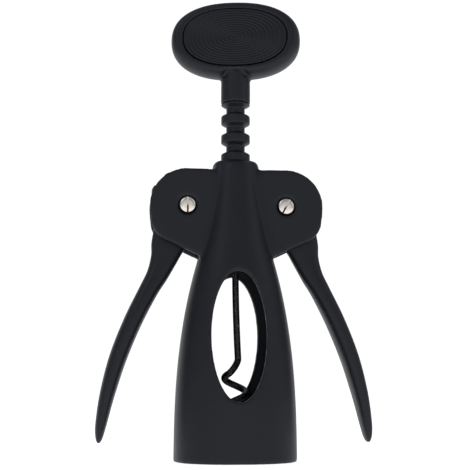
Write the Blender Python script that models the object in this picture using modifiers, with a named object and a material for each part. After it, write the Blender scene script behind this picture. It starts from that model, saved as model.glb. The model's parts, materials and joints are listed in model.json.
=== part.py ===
"""Lever corkscrew with two geared wings.

A hollow bell stands on its rim, with +Z up and the front towards -Y.  The origin is the middle of the
rim's underside.  A grooved rack slides and turns in the column above the bell, and a toothed lever on
each side lifts it.  Lengths are written in millimetres and turned into metres by MM.
"""
import math

import bmesh
import bpy
from mathutils import Matrix, Vector

MM = 0.001
GAP = 0.3 * MM                      # running or seating gap between two pieces

# Bell and column of the body
MOUTH_HALF_WIDTH = 24.2 * MM
MOUTH_HALF_DEPTH = 20.0 * MM
THROAT_HALF_WIDTH = 15.5 * MM
THROAT_HALF_DEPTH = 14.6 * MM
COLUMN_HALF_WIDTH = 9.4 * MM
COLUMN_HALF_DEPTH = 9.4 * MM
BELL_HEIGHT = 78.4 * MM
COLUMN_HEIGHT = 41.2 * MM
WIDTH_CURVE = 2.55                  # how late the flank turns in towards the throat
DEPTH_CURVE = 2.2
SECTION_POWER = 2.3                 # superellipse power of the body's section
BELL_WALL = 2.7 * MM
SHOULDER_RADIUS = 2.7 * MM
WINDOW_Z = 48.2 * MM
WINDOW_HALF_WIDTH = 10.7 * MM
WINDOW_HALF_HEIGHT = 25.3 * MM
ROOF_DROP = 0.6 * MM                # roof of the bell's hollow below the throat

# Rack and pinions
RACK_PITCH = 8.0 * MM
RACK_GROOVES = 7
RING_RADIUS = 5.9 * MM
GROOVE_RADIUS = 3.8 * MM
GROOVE_FLOOR = 2.4 * MM
GROOVE_MOUTH = 4.8 * MM
PITCH_CIRCLE_TEETH = 12             # teeth that a full gear would have
GEAR_TEETH = 7                      # teeth that each lever has
GEAR_ADDENDUM = 0.42 * MM
GEAR_HALF_WIDTH = 3.8 * MM
TOOTH_THICKNESS = 2.85 * MM         # along the pitch circle
MESH_LIFT = 0.6 * MM                # the meshing groove above the pivots, at rest
RACK_TAIL = 14.0 * MM               # rack below its lowest groove's middle

# Ears that hold the pivots
PIVOT_ABOVE_THROAT = 22.0 * MM
EAR_RADIUS = 15.0 * MM
EAR_THICKNESS = 2.3 * MM
EAR_BEVEL = 0.5 * MM
HEEL_RADIUS = 9.5 * MM
HEEL_OUT = 5.0 * MM                 # middle of the heel's arc, outwards and down from the pivot
HEEL_DOWN = 5.3 * MM
EAR_FOOT_DROP = 20.9 * MM           # where the ear's lower edge meets the bell, below the pivot

# Pivot hardware
SCREW_RADIUS = 1.6 * MM
SLEEVE_RADIUS = 2.6 * MM
HEAD_RADIUS = 3.2 * MM
HEAD_HEIGHT = 1.7 * MM
HEAD_DOME = 0.35 * MM
RECESS_CLEARANCE = 0.65 * MM
RECESS_DEPTH = 1.3 * MM
HEAD_SLOT_WIDTH = 0.7 * MM
HEAD_SLOT_DEPTH = 0.8 * MM
SCREW_SLOT_ANGLES = {"left": 90.0, "right": 62.0}
WASHER_THICKNESS = 0.5 * MM
WASHER_RADIUS = 6.0 * MM

# Guide bush in the throat
BUSH_WALL = 1.8 * MM
BUSH_LENGTH = 10.2 * MM
BUSH_FLANGE_WIDTH = 1.6 * MM
BUSH_FLANGE_THICKNESS = 1.5 * MM

# Seat ring that rests on a bottle
SEAT_Z = 14.0 * MM                  # the shoulder that meets the bottle's lip
SEAT_RING_BOTTOM = 5.0 * MM
SEAT_RING_TOP = 18.5 * MM
BOTTLE_CUP_RADIUS = 15.8 * MM
CORK_HOLE_RADIUS = 12.5 * MM
CUP_LEAD_IN = 0.5 * MM

# Worm
WIRE_RADIUS = 1.35 * MM
WORM_RADIUS = 4.25 * MM             # of the helix's centre line
WORM_PITCH = 11.5 * MM
WORM_TIP_Z = 3.0 * MM
WORM_LEFT_Z = 32.3 * MM             # height where the first turn is at its leftmost
WORM_SWING_Z = 39.9 * MM            # where the shank ends and the wire swings out to the helix
WORM_SWING_PULL = 5.6 * MM          # length of the swing's tangents, which sets how soft its bends are
WORM_SWING_STEPS = 7
WORM_START_ANGLE = 44.0             # of the helix's first point, before the leftmost
SHANK_LEAN = 1.1 * MM               # how far the shank's foot is off the axis
SHANK_STEPS = 8
WORM_POINT_LENGTH = 9.0 * MM
WORM_POINTS_PER_TURN = 14
WORM_SOCKET_DEPTH = 12.0 * MM
GRUB_RADIUS = 1.5 * MM
GRUB_ABOVE_RACK_FOOT = 5.0 * MM

# Handle
HANDLE_HALF_WIDTH = 26.8 * MM
HANDLE_HALF_HEIGHT = 16.3 * MM
HANDLE_HALF_THICKNESS = 6.3 * MM
HANDLE_POWER = 2.3
HANDLE_RIM_ROUND = 3.0 * MM
HANDLE_TURN = -8.6
COLLAR_STEP = 0.1 * MM              # collar's radius over the rings'
COLLAR_LENGTH = 10.6 * MM           # below the plate's lowest point
RACK_LAND_TOP = 0.4 * MM            # full-radius stretch above the top groove
SPIGOT_RADIUS = 3.6 * MM
SPIGOT_LENGTH = 12.0 * MM
PAD_HALF_WIDTH = 21.15 * MM
PAD_HALF_HEIGHT = 11.95 * MM
PAD_THICKNESS = 2.2 * MM
PAD_PROUD = 0.5 * MM                # how far the pads stand out of the plate
HANDLE_PIN_RADIUS = 1.0 * MM
HANDLE_PIN_ABOVE_COLLAR_FOOT = 6.0 * MM

# Lever arms: outwards and down from the pivot, half width and half thickness
ARM_STATIONS = [
    (5.5 * MM, -7.0 * MM, 7.2 * MM, 3.3 * MM),
    (6.3 * MM, -12.0 * MM, 7.5 * MM, 3.4 * MM),
    (7.6 * MM, -16.0 * MM, 6.8 * MM, 3.5 * MM),
    (9.0 * MM, -21.0 * MM, 5.4 * MM, 3.7 * MM),
    (11.5 * MM, -27.4 * MM, 4.35 * MM, 4.3 * MM),
    (15.1 * MM, -34.1 * MM, 3.85 * MM, 5.2 * MM),
    (20.95 * MM, -46.1 * MM, 3.7 * MM, 6.2 * MM),
    (26.5 * MM, -60.3 * MM, 3.5 * MM, 6.4 * MM),
    (30.35 * MM, -74.3 * MM, 3.0 * MM, 6.0 * MM),
    (32.6 * MM, -85.9 * MM, 2.25 * MM, 4.9 * MM),
    (33.3 * MM, -91.2 * MM, 1.45 * MM, 3.8 * MM),
    (33.5 * MM, -93.3 * MM, 0.5 * MM, 2.0 * MM),
]
ARM_POWER = 2.5
ARM_RINGS_PER_STATION = 2

# Fineness of round shapes
BODY_SIDES = 36
ROUND_SIDES = 24
EAR_SIDES = 40
SMALL_SIDES = 18
ARM_SIDES = 14
BELL_STEPS = 9
COLUMN_STEPS = 6

# Places worked out from the sizes above
BODY_TOP = BELL_HEIGHT + COLUMN_HEIGHT
PIVOT_Z = BELL_HEIGHT + PIVOT_ABOVE_THROAT
PITCH_RADIUS = RACK_PITCH * PITCH_CIRCLE_TEETH / math.tau
PIVOT_X = GROOVE_RADIUS + GAP + GEAR_ADDENDUM + PITCH_RADIUS
GEAR_TIP_RADIUS = PITCH_RADIUS + GEAR_ADDENDUM
GEAR_ROOT_RADIUS = PIVOT_X - RING_RADIUS - GAP
SLOT_RADIUS = GEAR_TIP_RADIUS + 2 * GAP
SLOT_HALF_WIDTH = GEAR_HALF_WIDTH + WASHER_THICKNESS + 2 * GAP
EAR_FACE = SLOT_HALF_WIDTH + EAR_THICKNESS
RECESS_FLOOR = EAR_FACE - RECESS_DEPTH
ROOF_Z = BELL_HEIGHT - ROOF_DROP
COLLAR_RADIUS = RING_RADIUS + COLLAR_STEP
BORE_RADIUS = COLLAR_RADIUS + GAP
BUSH_RADIUS = BORE_RADIUS + BUSH_WALL
LOW_GROOVE_Z = PIVOT_Z + MESH_LIFT - RACK_PITCH
HIGH_GROOVE_Z = LOW_GROOVE_Z + (RACK_GROOVES - 1) * RACK_PITCH
RACK_FOOT_Z = LOW_GROOVE_Z - RACK_TAIL
RACK_SHOULDER_Z = HIGH_GROOVE_Z + GROOVE_MOUTH / 2 + RACK_LAND_TOP
COLLAR_FOOT_Z = RACK_SHOULDER_Z + GAP
HANDLE_Z = COLLAR_FOOT_Z + COLLAR_LENGTH + HANDLE_HALF_HEIGHT
HANDLE_PIN_Z = COLLAR_FOOT_Z + HANDLE_PIN_ABOVE_COLLAR_FOOT
GRUB_Z = RACK_FOOT_Z + GRUB_ABOVE_RACK_FOOT

# Colour, metallic value and roughness of each material
FINISHES = {
    "black_paint": ((0.016, 0.018, 0.021), 0.0, 0.48),
    "black_plastic": ((0.014, 0.015, 0.017), 0.0, 0.55),
    "black_worm_coating": ((0.012, 0.012, 0.013), 0.2, 0.42),
    "nickel": ((0.72, 0.69, 0.65), 1.0, 0.22),
    "steel": ((0.45, 0.45, 0.46), 1.0, 0.35),
    "white_nylon": ((0.70, 0.69, 0.65), 0.0, 0.45),
}


# ---------------------------------------------------------------- scene and materials

def clear_scene():
    for obj in list(bpy.data.objects):
        bpy.data.objects.remove(obj, do_unlink=True)


def new_collection(name):
    collection = bpy.data.collections.new(name)
    bpy.context.scene.collection.children.link(collection)
    return collection


def finish_material(name):
    """The named material, made once from its line in FINISHES."""
    if name in bpy.data.materials:
        return bpy.data.materials[name]
    colour, metallic, roughness = FINISHES[name]
    material = bpy.data.materials.new(name)
    material.use_nodes = True
    shader = material.node_tree.nodes["Principled BSDF"]
    shader.inputs["Base Color"].default_value = (*colour, 1.0)
    shader.inputs["Metallic"].default_value = metallic
    shader.inputs["Roughness"].default_value = roughness
    material.diffuse_color = (*colour, 1.0)
    return material


def place(obj, collection, finish=None, location=(0, 0, 0), rotation=(0, 0, 0)):
    """Link an object into its collection, at its place and with its finish."""
    collection.objects.link(obj)
    obj.location = location
    obj.rotation_euler = [math.radians(angle) for angle in rotation]
    if finish:
        obj.data.materials.append(finish_material(finish))
    return obj


# ---------------------------------------------------------------- shapes

def mesh_object(name, bm, smooth_angle=40.0):
    """Object from a bmesh, shaded smooth except at edges sharper than smooth_angle."""
    mesh = bpy.data.meshes.new(name)
    bmesh.ops.recalc_face_normals(bm, faces=bm.faces)
    bm.to_mesh(mesh)
    bm.free()
    mesh.shade_smooth()
    mesh.set_sharp_from_angle(angle=math.radians(smooth_angle))
    return bpy.data.objects.new(name, mesh)


def loft(name, rings):
    """Closed solid through rings of equally many points, flat at both ends."""
    bm = bmesh.new()
    loops = [[bm.verts.new(point) for point in ring] for ring in rings]
    for lower, upper in zip(loops, loops[1:]):
        for i in range(len(lower)):
            j = (i + 1) % len(lower)
            bm.faces.new((lower[i], lower[j], upper[j], upper[i]))
    bm.faces.new(loops[0])
    bm.faces.new(loops[-1])
    return mesh_object(name, bm)


def plate(name, outline, thickness, bevel=0.0):
    """Flat outline of (x, z) points, standing upright with its thickness along Y."""
    curve = bpy.data.curves.new(name, "CURVE")
    curve.dimensions = "2D"
    curve.fill_mode = "BOTH"
    curve.extrude = thickness / 2 - bevel
    curve.bevel_depth = bevel
    curve.offset = -bevel
    curve.bevel_resolution = 0
    spline = curve.splines.new("POLY")
    spline.points.add(len(outline) - 1)
    for point, (x, z) in zip(spline.points, outline):
        point.co = (x, z, 0, 1)
    spline.use_cyclic_u = True
    obj = curve_to_mesh(bpy.data.objects.new(name, curve))
    obj.data.transform(Matrix.Rotation(math.radians(90), 4, "X"))
    return obj


def curve_to_mesh(obj):
    """Mesh object of the same name as a curve object, with its caps welded on."""
    scene = bpy.context.scene
    scene.collection.objects.link(obj)
    evaluated = obj.evaluated_get(bpy.context.evaluated_depsgraph_get())
    mesh = bpy.data.meshes.new_from_object(evaluated)
    name = obj.name
    curve = obj.data
    bpy.data.objects.remove(obj)
    bpy.data.curves.remove(curve)
    bm = bmesh.new()
    bm.from_mesh(mesh)
    bpy.data.meshes.remove(mesh)
    bmesh.ops.remove_doubles(bm, verts=bm.verts, dist=1e-6)
    return mesh_object(name, bm)


def turned(name, profile, sides, closed=False):
    """Shape turned about Z.  The (radius, height) profile runs down its outer side.

    A closed profile gives a ring; an open one starts and ends on the axis.
    """
    mesh = bpy.data.meshes.new(name)
    edges = [(i, i + 1) for i in range(len(profile) - 1)]
    if closed:
        edges.append((len(profile) - 1, 0))
    mesh.from_pydata([(radius, 0, z) for radius, z in profile], edges, [])
    obj = bpy.data.objects.new(name, mesh)
    screw = obj.modifiers.new("Turn", "SCREW")
    screw.steps = sides
    screw.render_steps = sides
    screw.use_merge_vertices = True
    screw.merge_threshold = 1e-6
    return obj


def rod_profile(radius, bottom, top, chamfer=0.0):
    """Profile of a plain rod, with the same chamfer at both ends."""
    profile = [(0, top), (radius - chamfer, top), (radius, top - chamfer),
               (radius, bottom + chamfer), (radius - chamfer, bottom), (0, bottom)]
    return profile if chamfer else [profile[0], profile[1], profile[4], profile[5]]


def ring_profile(inner, outer, bottom, top):
    return [(inner, top), (outer, top), (outer, bottom), (inner, bottom)]


def superellipse(half_width, half_height, power, sides):
    """Points of |x/a|^n + |y/b|^n = 1, spaced by equal angles of its parameter."""
    points = []
    for i in range(sides):
        angle = math.tau * i / sides
        cosine, sine = math.cos(angle), math.sin(angle)
        points.append((math.copysign(half_width * abs(cosine) ** (2 / power), cosine),
                       math.copysign(half_height * abs(sine) ** (2 / power), sine)))
    return points


def circle(x, z, radius, sides):
    return [(x + radius * math.cos(math.tau * i / sides), z + radius * math.sin(math.tau * i / sides))
            for i in range(sides)]


def hull(points):
    """Convex outline round the points, anticlockwise (Andrew's monotone chain)."""
    points = sorted(set(points))

    def half(ordered):
        chain = []
        for x, y in ordered:
            while len(chain) > 1:
                (ax, ay), (bx, by) = chain[-2:]
                if (bx - ax) * (y - ay) - (by - ay) * (x - ax) > 0:
                    break
                chain.pop()
            chain.append((x, y))
        return chain[:-1]

    return half(points) + half(reversed(points))


def spline_through(stations, steps):
    """Catmull-Rom points through the stations, with this many steps between two of them."""
    ends = [stations[0], *stations, stations[-1]]
    points = []
    for a, b, c, d in zip(ends, ends[1:], ends[2:], ends[3:]):
        for step in range(steps):
            t = step / steps
            points.append(tuple(
                ((2 * q) + (r - p) * t + (2 * p - 5 * q + 4 * r - s) * t * t
                 + (3 * q - p - 3 * r + s) * t ** 3) / 2
                for p, q, r, s in zip(a, b, c, d)))
    return points + [stations[-1]]


def hermite(start, leave, end, arrive, t):
    """Point at share t of the cubic that leaves start and arrives at end along these tangents."""
    return (start * (2 * t ** 3 - 3 * t ** 2 + 1) + leave * (t ** 3 - 2 * t ** 2 + t)
            + end * (3 * t ** 2 - 2 * t ** 3) + arrive * (t ** 3 - t ** 2))


def boolean(obj, other, operation="DIFFERENCE"):
    modifier = obj.modifiers.new(other.name, "BOOLEAN")
    modifier.operation = operation
    modifier.object = other
    modifier.solver = "EXACT"


def tool(obj, cutters, location=(0, 0, 0), rotation=(0, 0, 0)):
    """Keep an object as a cutter or a joined shape: seen as wires and never rendered."""
    place(obj, cutters, None, location, rotation)
    obj.hide_render = True
    obj.display_type = "WIRE"
    return obj


# ---------------------------------------------------------------- body

def body_half_sizes(z):
    """Half width and half depth of the body at a height.

    The bell narrows as a power of the height.  The column goes on from it with the same slope and
    narrows as a power of the height that is left, and its top edge is rounded.
    """
    sizes = []
    for mouth, throat, column, power in (
            (MOUTH_HALF_WIDTH, THROAT_HALF_WIDTH, COLUMN_HALF_WIDTH, WIDTH_CURVE),
            (MOUTH_HALF_DEPTH, THROAT_HALF_DEPTH, COLUMN_HALF_DEPTH, DEPTH_CURVE)):
        if z <= BELL_HEIGHT:
            size = mouth - (mouth - throat) * (max(z, 0) / BELL_HEIGHT) ** power
        else:
            left = (BODY_TOP - z) / COLUMN_HEIGHT
            slope_power = power * (mouth - throat) * COLUMN_HEIGHT / (BELL_HEIGHT * (throat - column))
            size = column + (throat - column) * left ** slope_power
        over = max(0.0, z - (BODY_TOP - SHOULDER_RADIUS))
        sizes.append(size - SHOULDER_RADIUS + math.sqrt(max(0.0, SHOULDER_RADIUS ** 2 - over ** 2)))
    return sizes


def body_ring(z, inset=0.0):
    """Superellipse section of the body at a height, drawn in by inset."""
    half_width, half_depth = body_half_sizes(z)
    return [(x, y, z) for x, y in
            superellipse(half_width - inset, half_depth - inset, SECTION_POWER, BODY_SIDES)]


def body_heights():
    """Section heights: even steps up the bell and the column, closer round the shoulder."""
    heights = [BELL_HEIGHT * i / BELL_STEPS for i in range(BELL_STEPS)]
    shoulder = BODY_TOP - SHOULDER_RADIUS
    heights += [BELL_HEIGHT + (shoulder - BELL_HEIGHT) * i / COLUMN_STEPS for i in range(COLUMN_STEPS + 1)]
    return heights + [shoulder + SHOULDER_RADIUS * math.sin(math.radians(a)) for a in (30, 60, 90)]


def ear_outline():
    """Both ears in one outline: pivot discs, heels and the feet on the bell's flanks."""
    foot_z = PIVOT_Z - EAR_FOOT_DROP
    foot_x = body_half_sizes(foot_z)[0] - BELL_WALL / 2
    points = []
    for side in (-1, 1):
        points += circle(side * PIVOT_X, PIVOT_Z, EAR_RADIUS, EAR_SIDES)
        points += circle(side * (PIVOT_X + HEEL_OUT), PIVOT_Z - HEEL_DOWN, HEEL_RADIUS, EAR_SIDES)
        points.append((side * foot_x, foot_z))
    return hull(points)


def make_body(parts, cutters):
    body = place(loft("body_casting", [body_ring(z) for z in body_heights()]), parts, "black_paint")
    blank = EAR_THICKNESS + 2 * EAR_BEVEL       # the gear slots trim off the inner edges
    for name, side in (("front_ears", -1), ("rear_ears", 1)):
        ears = plate(name, ear_outline(), blank, EAR_BEVEL)
        tool(ears, cutters, (0, side * (EAR_FACE - blank / 2), 0))
        boolean(body, ears, "UNION")

    heights = [-BELL_WALL] + [ROOF_Z * i / BELL_STEPS for i in range(BELL_STEPS + 1)]
    hollow = tool(loft("bell_hollow", [
        [(x, y, z) for x, y, _ in body_ring(z, BELL_WALL)] for z in heights]), cutters)
    bush_top = ROOF_Z + BUSH_LENGTH + GAP
    bore = tool(turned("rack_bore", [
        (0, BODY_TOP + BELL_WALL), (BORE_RADIUS, BODY_TOP + BELL_WALL), (BORE_RADIUS, bush_top),
        (BUSH_RADIUS + GAP, bush_top), (BUSH_RADIUS + GAP, ROOF_Z - BELL_WALL),
        (0, ROOF_Z - BELL_WALL)], ROUND_SIDES), cutters)
    window_outline = superellipse(WINDOW_HALF_WIDTH, WINDOW_HALF_HEIGHT, 2.0, BODY_SIDES)
    window = tool(plate("window_cut", window_outline, 3 * MOUTH_HALF_DEPTH), cutters, (0, 0, WINDOW_Z))
    for cutter in (hollow, bore, window):
        boolean(body, cutter)

    for side, sign in (("left", -1), ("right", 1)):
        axis = (sign * PIVOT_X, 0, PIVOT_Z)
        slot = turned(side + "_gear_slot",
                      rod_profile(SLOT_RADIUS, -SLOT_HALF_WIDTH, SLOT_HALF_WIDTH), EAR_SIDES)
        reach = 2 * EAR_FACE
        recess = RECESS_FLOOR
        wide = HEAD_RADIUS + RECESS_CLEARANCE
        holes = turned(side + "_pivot_hole", [
            (0, reach), (wide, reach), (wide, recess), (SCREW_RADIUS + GAP, recess),
            (SCREW_RADIUS + GAP, 0), (SLEEVE_RADIUS + GAP, 0), (SLEEVE_RADIUS + GAP, -recess),
            (wide, -recess), (wide, -reach), (0, -reach)], ROUND_SIDES)
        for cutter in (slot, holes):
            boolean(body, tool(cutter, cutters, axis, (90, 0, 0)))


def make_seat_ring(parts, cutters):
    """Insert in the bell: a cup for the bottle's lip, then a narrower hole for the cork."""
    heights = [SEAT_RING_BOTTOM + (SEAT_RING_TOP - SEAT_RING_BOTTOM) * i / 3 for i in range(4)]
    ring = place(loft("neck_seat_ring", [body_ring(z, BELL_WALL + GAP) for z in heights]),
                 parts, "black_plastic")
    cup = BOTTLE_CUP_RADIUS
    cut = turned("bottle_cup", [
        (0, SEAT_RING_TOP + CUP_LEAD_IN), (CORK_HOLE_RADIUS, SEAT_RING_TOP + CUP_LEAD_IN),
        (CORK_HOLE_RADIUS, SEAT_Z), (cup, SEAT_Z), (cup, SEAT_RING_BOTTOM + CUP_LEAD_IN),
        (cup + 2 * CUP_LEAD_IN, SEAT_RING_BOTTOM - CUP_LEAD_IN), (0, SEAT_RING_BOTTOM - CUP_LEAD_IN)],
        ROUND_SIDES)
    boolean(ring, tool(cut, cutters))


def make_guide_bush(parts):
    """Flanged sleeve in the throat that the rack slides and turns in."""
    flange = min(BUSH_RADIUS + BUSH_FLANGE_WIDTH, THROAT_HALF_DEPTH - BELL_WALL - GAP)
    top = ROOF_Z + BUSH_LENGTH
    foot = ROOF_Z - GAP
    bush = turned("guide_bush", [
        (BORE_RADIUS, top), (BUSH_RADIUS, top), (BUSH_RADIUS, foot), (flange, foot),
        (flange, foot - BUSH_FLANGE_THICKNESS), (BORE_RADIUS, foot - BUSH_FLANGE_THICKNESS)],
        ROUND_SIDES, closed=True)
    place(bush, parts, "white_nylon")


# ---------------------------------------------------------------- pivots and levers

def make_pivot(parts, cutters, side, sign):
    """Slotted screw from the front, sleeve nut from the rear and a washer on each side of the gear."""
    axis = (sign * PIVOT_X, 0, PIVOT_Z)
    turn = (90, 0, 0)
    under = RECESS_FLOOR + GAP
    face = under + HEAD_HEIGHT
    rim = face - HEAD_DOME
    sleeve_front = SLOT_HALF_WIDTH - GAP
    bore_end = -SLOT_HALF_WIDTH
    screw = turned(side + "_pivot_screw", [
        (0, face), (0.6 * HEAD_RADIUS, face - 0.3 * HEAD_DOME), (0.9 * HEAD_RADIUS, rim),
        (HEAD_RADIUS, rim - HEAD_DOME), (HEAD_RADIUS, under), (SCREW_RADIUS, under),
        (SCREW_RADIUS, bore_end + 2 * GAP), (0, bore_end + 2 * GAP)], SMALL_SIDES)
    place(screw, parts, "nickel", axis, turn)
    sleeve = turned(side + "_pivot_sleeve", [
        (0, bore_end), (SCREW_RADIUS + GAP, bore_end), (SCREW_RADIUS + GAP, sleeve_front),
        (SLEEVE_RADIUS, sleeve_front), (SLEEVE_RADIUS, -under), (HEAD_RADIUS, -under),
        (HEAD_RADIUS, HEAD_DOME - rim), (0.9 * HEAD_RADIUS, -rim),
        (0.6 * HEAD_RADIUS, 0.3 * HEAD_DOME - face), (0, -face)], SMALL_SIDES)
    place(sleeve, parts, "nickel", axis, turn)
    for piece, front in ((screw, -1), (sleeve, 1)):
        bm = bmesh.new()
        bmesh.ops.create_cube(bm, size=1.0, matrix=Matrix.Diagonal(
            (3 * HEAD_RADIUS, 2 * HEAD_SLOT_DEPTH, HEAD_SLOT_WIDTH, 1)))
        slot = mesh_object(piece.name + "_slot", bm)
        tool(slot, cutters, (axis[0], front * face, axis[2]), (0, -SCREW_SLOT_ANGLES[side], 0))
        boolean(piece, slot)
    near = GEAR_HALF_WIDTH + GAP
    for name, low in (("front", near), ("rear", -near - WASHER_THICKNESS)):
        washer = turned(side + "_" + name + "_washer", ring_profile(
            SLEEVE_RADIUS + GAP, WASHER_RADIUS, low, low + WASHER_THICKNESS), SMALL_SIDES, closed=True)
        place(washer, parts, "steel", axis, turn)


def tooth_flank():
    """Involute flank as (radius, half angle): the half angle falls with the radius."""
    pressure = math.atan2(GROOVE_MOUTH - GROOVE_FLOOR, 2 * (RING_RADIUS - GROOVE_RADIUS))
    base = PITCH_RADIUS * math.cos(pressure)
    half = TOOTH_THICKNESS / (2 * PITCH_RADIUS) + math.tan(pressure) - pressure
    flank = []
    for i in range(5):
        radius = GEAR_ROOT_RADIUS + (GEAR_TIP_RADIUS - GEAR_ROOT_RADIUS) * i / 4
        roll = math.acos(min(1.0, base / radius))
        flank.append((radius, half - (math.tan(roll) - roll)))
    return flank


def gear_outline():
    """Left gear about its pivot, with angle 0 towards the rack: teeth, then the plain root circle."""
    flank = tooth_flank()
    step = math.tau / PITCH_CIRCLE_TEETH
    first = math.asin(MESH_LIFT / PITCH_RADIUS) - step
    polar = []
    for tooth in range(GEAR_TEETH):
        middle = first + tooth * step
        polar += [(radius, middle - half) for radius, half in flank]
        polar += [(radius, middle + half) for radius, half in reversed(flank)]
    start = polar[-1][1]
    plain = math.tau + polar[0][1] - start
    steps = round(plain / math.radians(12))
    polar += [(GEAR_ROOT_RADIUS, start + plain * i / steps) for i in range(1, steps)]
    return [(radius * math.cos(angle), radius * math.sin(angle)) for radius, angle in polar]


def arm_rings():
    """Superellipse sections square to the arm's centre line, for the left lever about its pivot."""
    stations = spline_through(ARM_STATIONS, ARM_RINGS_PER_STATION)
    rings = []
    for i, (out, up, half_width, half_thick) in enumerate(stations):
        before = stations[max(i - 1, 0)]
        after = stations[min(i + 1, len(stations) - 1)]
        along = Vector((before[0] - after[0], 0, after[1] - before[1])).normalized()
        across = Vector((along.z, 0, -along.x))
        rings.append([Vector((-out, 0, up)) + across * u + Vector((0, v, 0))
                      for u, v in superellipse(half_width, half_thick, ARM_POWER, ARM_SIDES)])
    return rings


def make_levers(parts, cutters):
    """Left lever, and the right one as its mirror image."""
    for side, sign in (("left", 1), ("right", -1)):
        mirror = Matrix.Diagonal((sign, 1, 1, 1))
        pivot = (-sign * PIVOT_X, 0, PIVOT_Z)
        gear = plate(side + "_lever", [(sign * x, z) for x, z in gear_outline()], 2 * GEAR_HALF_WIDTH)
        place(gear, parts, "black_paint", pivot)
        arm = loft(side + "_arm", [[mirror @ point for point in ring] for ring in arm_rings()])
        boolean(gear, tool(arm, cutters, pivot), "UNION")
        bore = turned(side + "_lever_bore",
                      rod_profile(SLEEVE_RADIUS + GAP, -2 * GEAR_HALF_WIDTH, 2 * GEAR_HALF_WIDTH),
                      SMALL_SIDES)
        boolean(gear, tool(bore, cutters, pivot, (90, 0, 0)))


# ---------------------------------------------------------------- rack, worm and handle

def make_rack(parts, cutters):
    """Round rack: ringed shaft with a spigot for the handle above and a socket for the worm below."""
    spigot_top = RACK_SHOULDER_Z + SPIGOT_LENGTH
    chamfer = 2 * GAP
    profile = [(0, spigot_top), (SPIGOT_RADIUS, spigot_top), (SPIGOT_RADIUS, RACK_SHOULDER_Z),
               (RING_RADIUS, RACK_SHOULDER_Z)]
    for groove in reversed(range(RACK_GROOVES)):
        z = LOW_GROOVE_Z + groove * RACK_PITCH
        profile += [(RING_RADIUS, z + GROOVE_MOUTH / 2), (GROOVE_RADIUS, z + GROOVE_FLOOR / 2),
                    (GROOVE_RADIUS, z - GROOVE_FLOOR / 2), (RING_RADIUS, z - GROOVE_MOUTH / 2)]
    socket = WIRE_RADIUS + GAP
    socket_top = RACK_FOOT_Z + WORM_SOCKET_DEPTH + GAP
    profile += [(RING_RADIUS, RACK_FOOT_Z + chamfer), (RING_RADIUS - chamfer, RACK_FOOT_Z),
                (socket, RACK_FOOT_Z), (socket, socket_top), (0, socket_top)]
    rack = place(turned("rack", profile, ROUND_SIDES), parts, "black_paint")

    grub = turned("worm_grub_screw", rod_profile(GRUB_RADIUS, WIRE_RADIUS + GAP, RING_RADIUS - GAP),
                  SMALL_SIDES)
    place(grub, parts, "steel", (0, 0, GRUB_Z), (-90, 0, 0))
    hole = turned("worm_grub_hole", rod_profile(GRUB_RADIUS + GAP, WIRE_RADIUS / 2, 2 * RING_RADIUS),
                  SMALL_SIDES)
    boolean(rack, tool(hole, cutters, (0, 0, GRUB_Z), (-90, 0, 0)))
    return rack


def worm_points():
    """Centre line of the worm from the top, with each point's share of the wire's thickness.

    The shank leans a little by the square of its length, a spline swings it out, and a right-handed
    helix runs down to a point.
    """
    shank_top = RACK_FOOT_Z + WORM_SOCKET_DEPTH
    line = [(0, 0, shank_top)]
    for i in range(SHANK_STEPS + 1):
        share = i / SHANK_STEPS
        line.append((SHANK_LEAN * share ** 2, 0, RACK_FOOT_Z + (WORM_SWING_Z - RACK_FOOT_Z) * share))
    helix_top = WORM_LEFT_Z + WORM_PITCH * WORM_START_ANGLE / 360
    count = round((helix_top - WORM_TIP_Z) / WORM_PITCH * WORM_POINTS_PER_TURN)
    helix = []
    for i in range(count + 1):
        z = helix_top + (WORM_TIP_Z - helix_top) * i / count
        angle = math.pi + math.tau * (z - WORM_LEFT_Z) / WORM_PITCH
        helix.append((WORM_RADIUS * math.cos(angle), WORM_RADIUS * math.sin(angle), z))
    foot, start = Vector(line[-1]), Vector(helix[0])
    leave = (foot - Vector(line[-2])).normalized() * WORM_SWING_PULL
    arrive = (Vector(helix[1]) - start).normalized() * WORM_SWING_PULL
    line += [hermite(foot, leave, start, arrive, i / WORM_SWING_STEPS) for i in range(1, WORM_SWING_STEPS)]
    line += helix
    return [(Vector(point), min(1.0, 0.12 + 0.88 * (point[2] - WORM_TIP_Z) / WORM_POINT_LENGTH))
            for point in line]


def make_worm(parts):
    curve = bpy.data.curves.new("worm", "CURVE")
    curve.dimensions = "3D"
    curve.bevel_depth = WIRE_RADIUS
    curve.bevel_resolution = 2
    curve.use_fill_caps = True
    spline = curve.splines.new("POLY")
    points = worm_points()
    spline.points.add(len(points) - 1)
    for target, (point, thin) in zip(spline.points, points):
        target.co = (*point, 1)
        target.radius = thin
    place(curve_to_mesh(bpy.data.objects.new("worm", curve)), parts, "black_worm_coating")


def handle_rings(half_width, half_height, half_thickness, edge_round, steps):
    """Superellipse sections across the plate's thickness, drawn in towards both faces."""
    rings = []
    for i in range(steps + 1):
        angle = math.radians(-90 + 180 * i / steps)
        inset = edge_round * (1 - math.cos(angle))
        rings.append([(x, half_thickness * math.sin(angle), z) for x, z in superellipse(
            half_width - inset, half_height - inset, HANDLE_POWER, BODY_SIDES)])
    return rings


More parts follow.
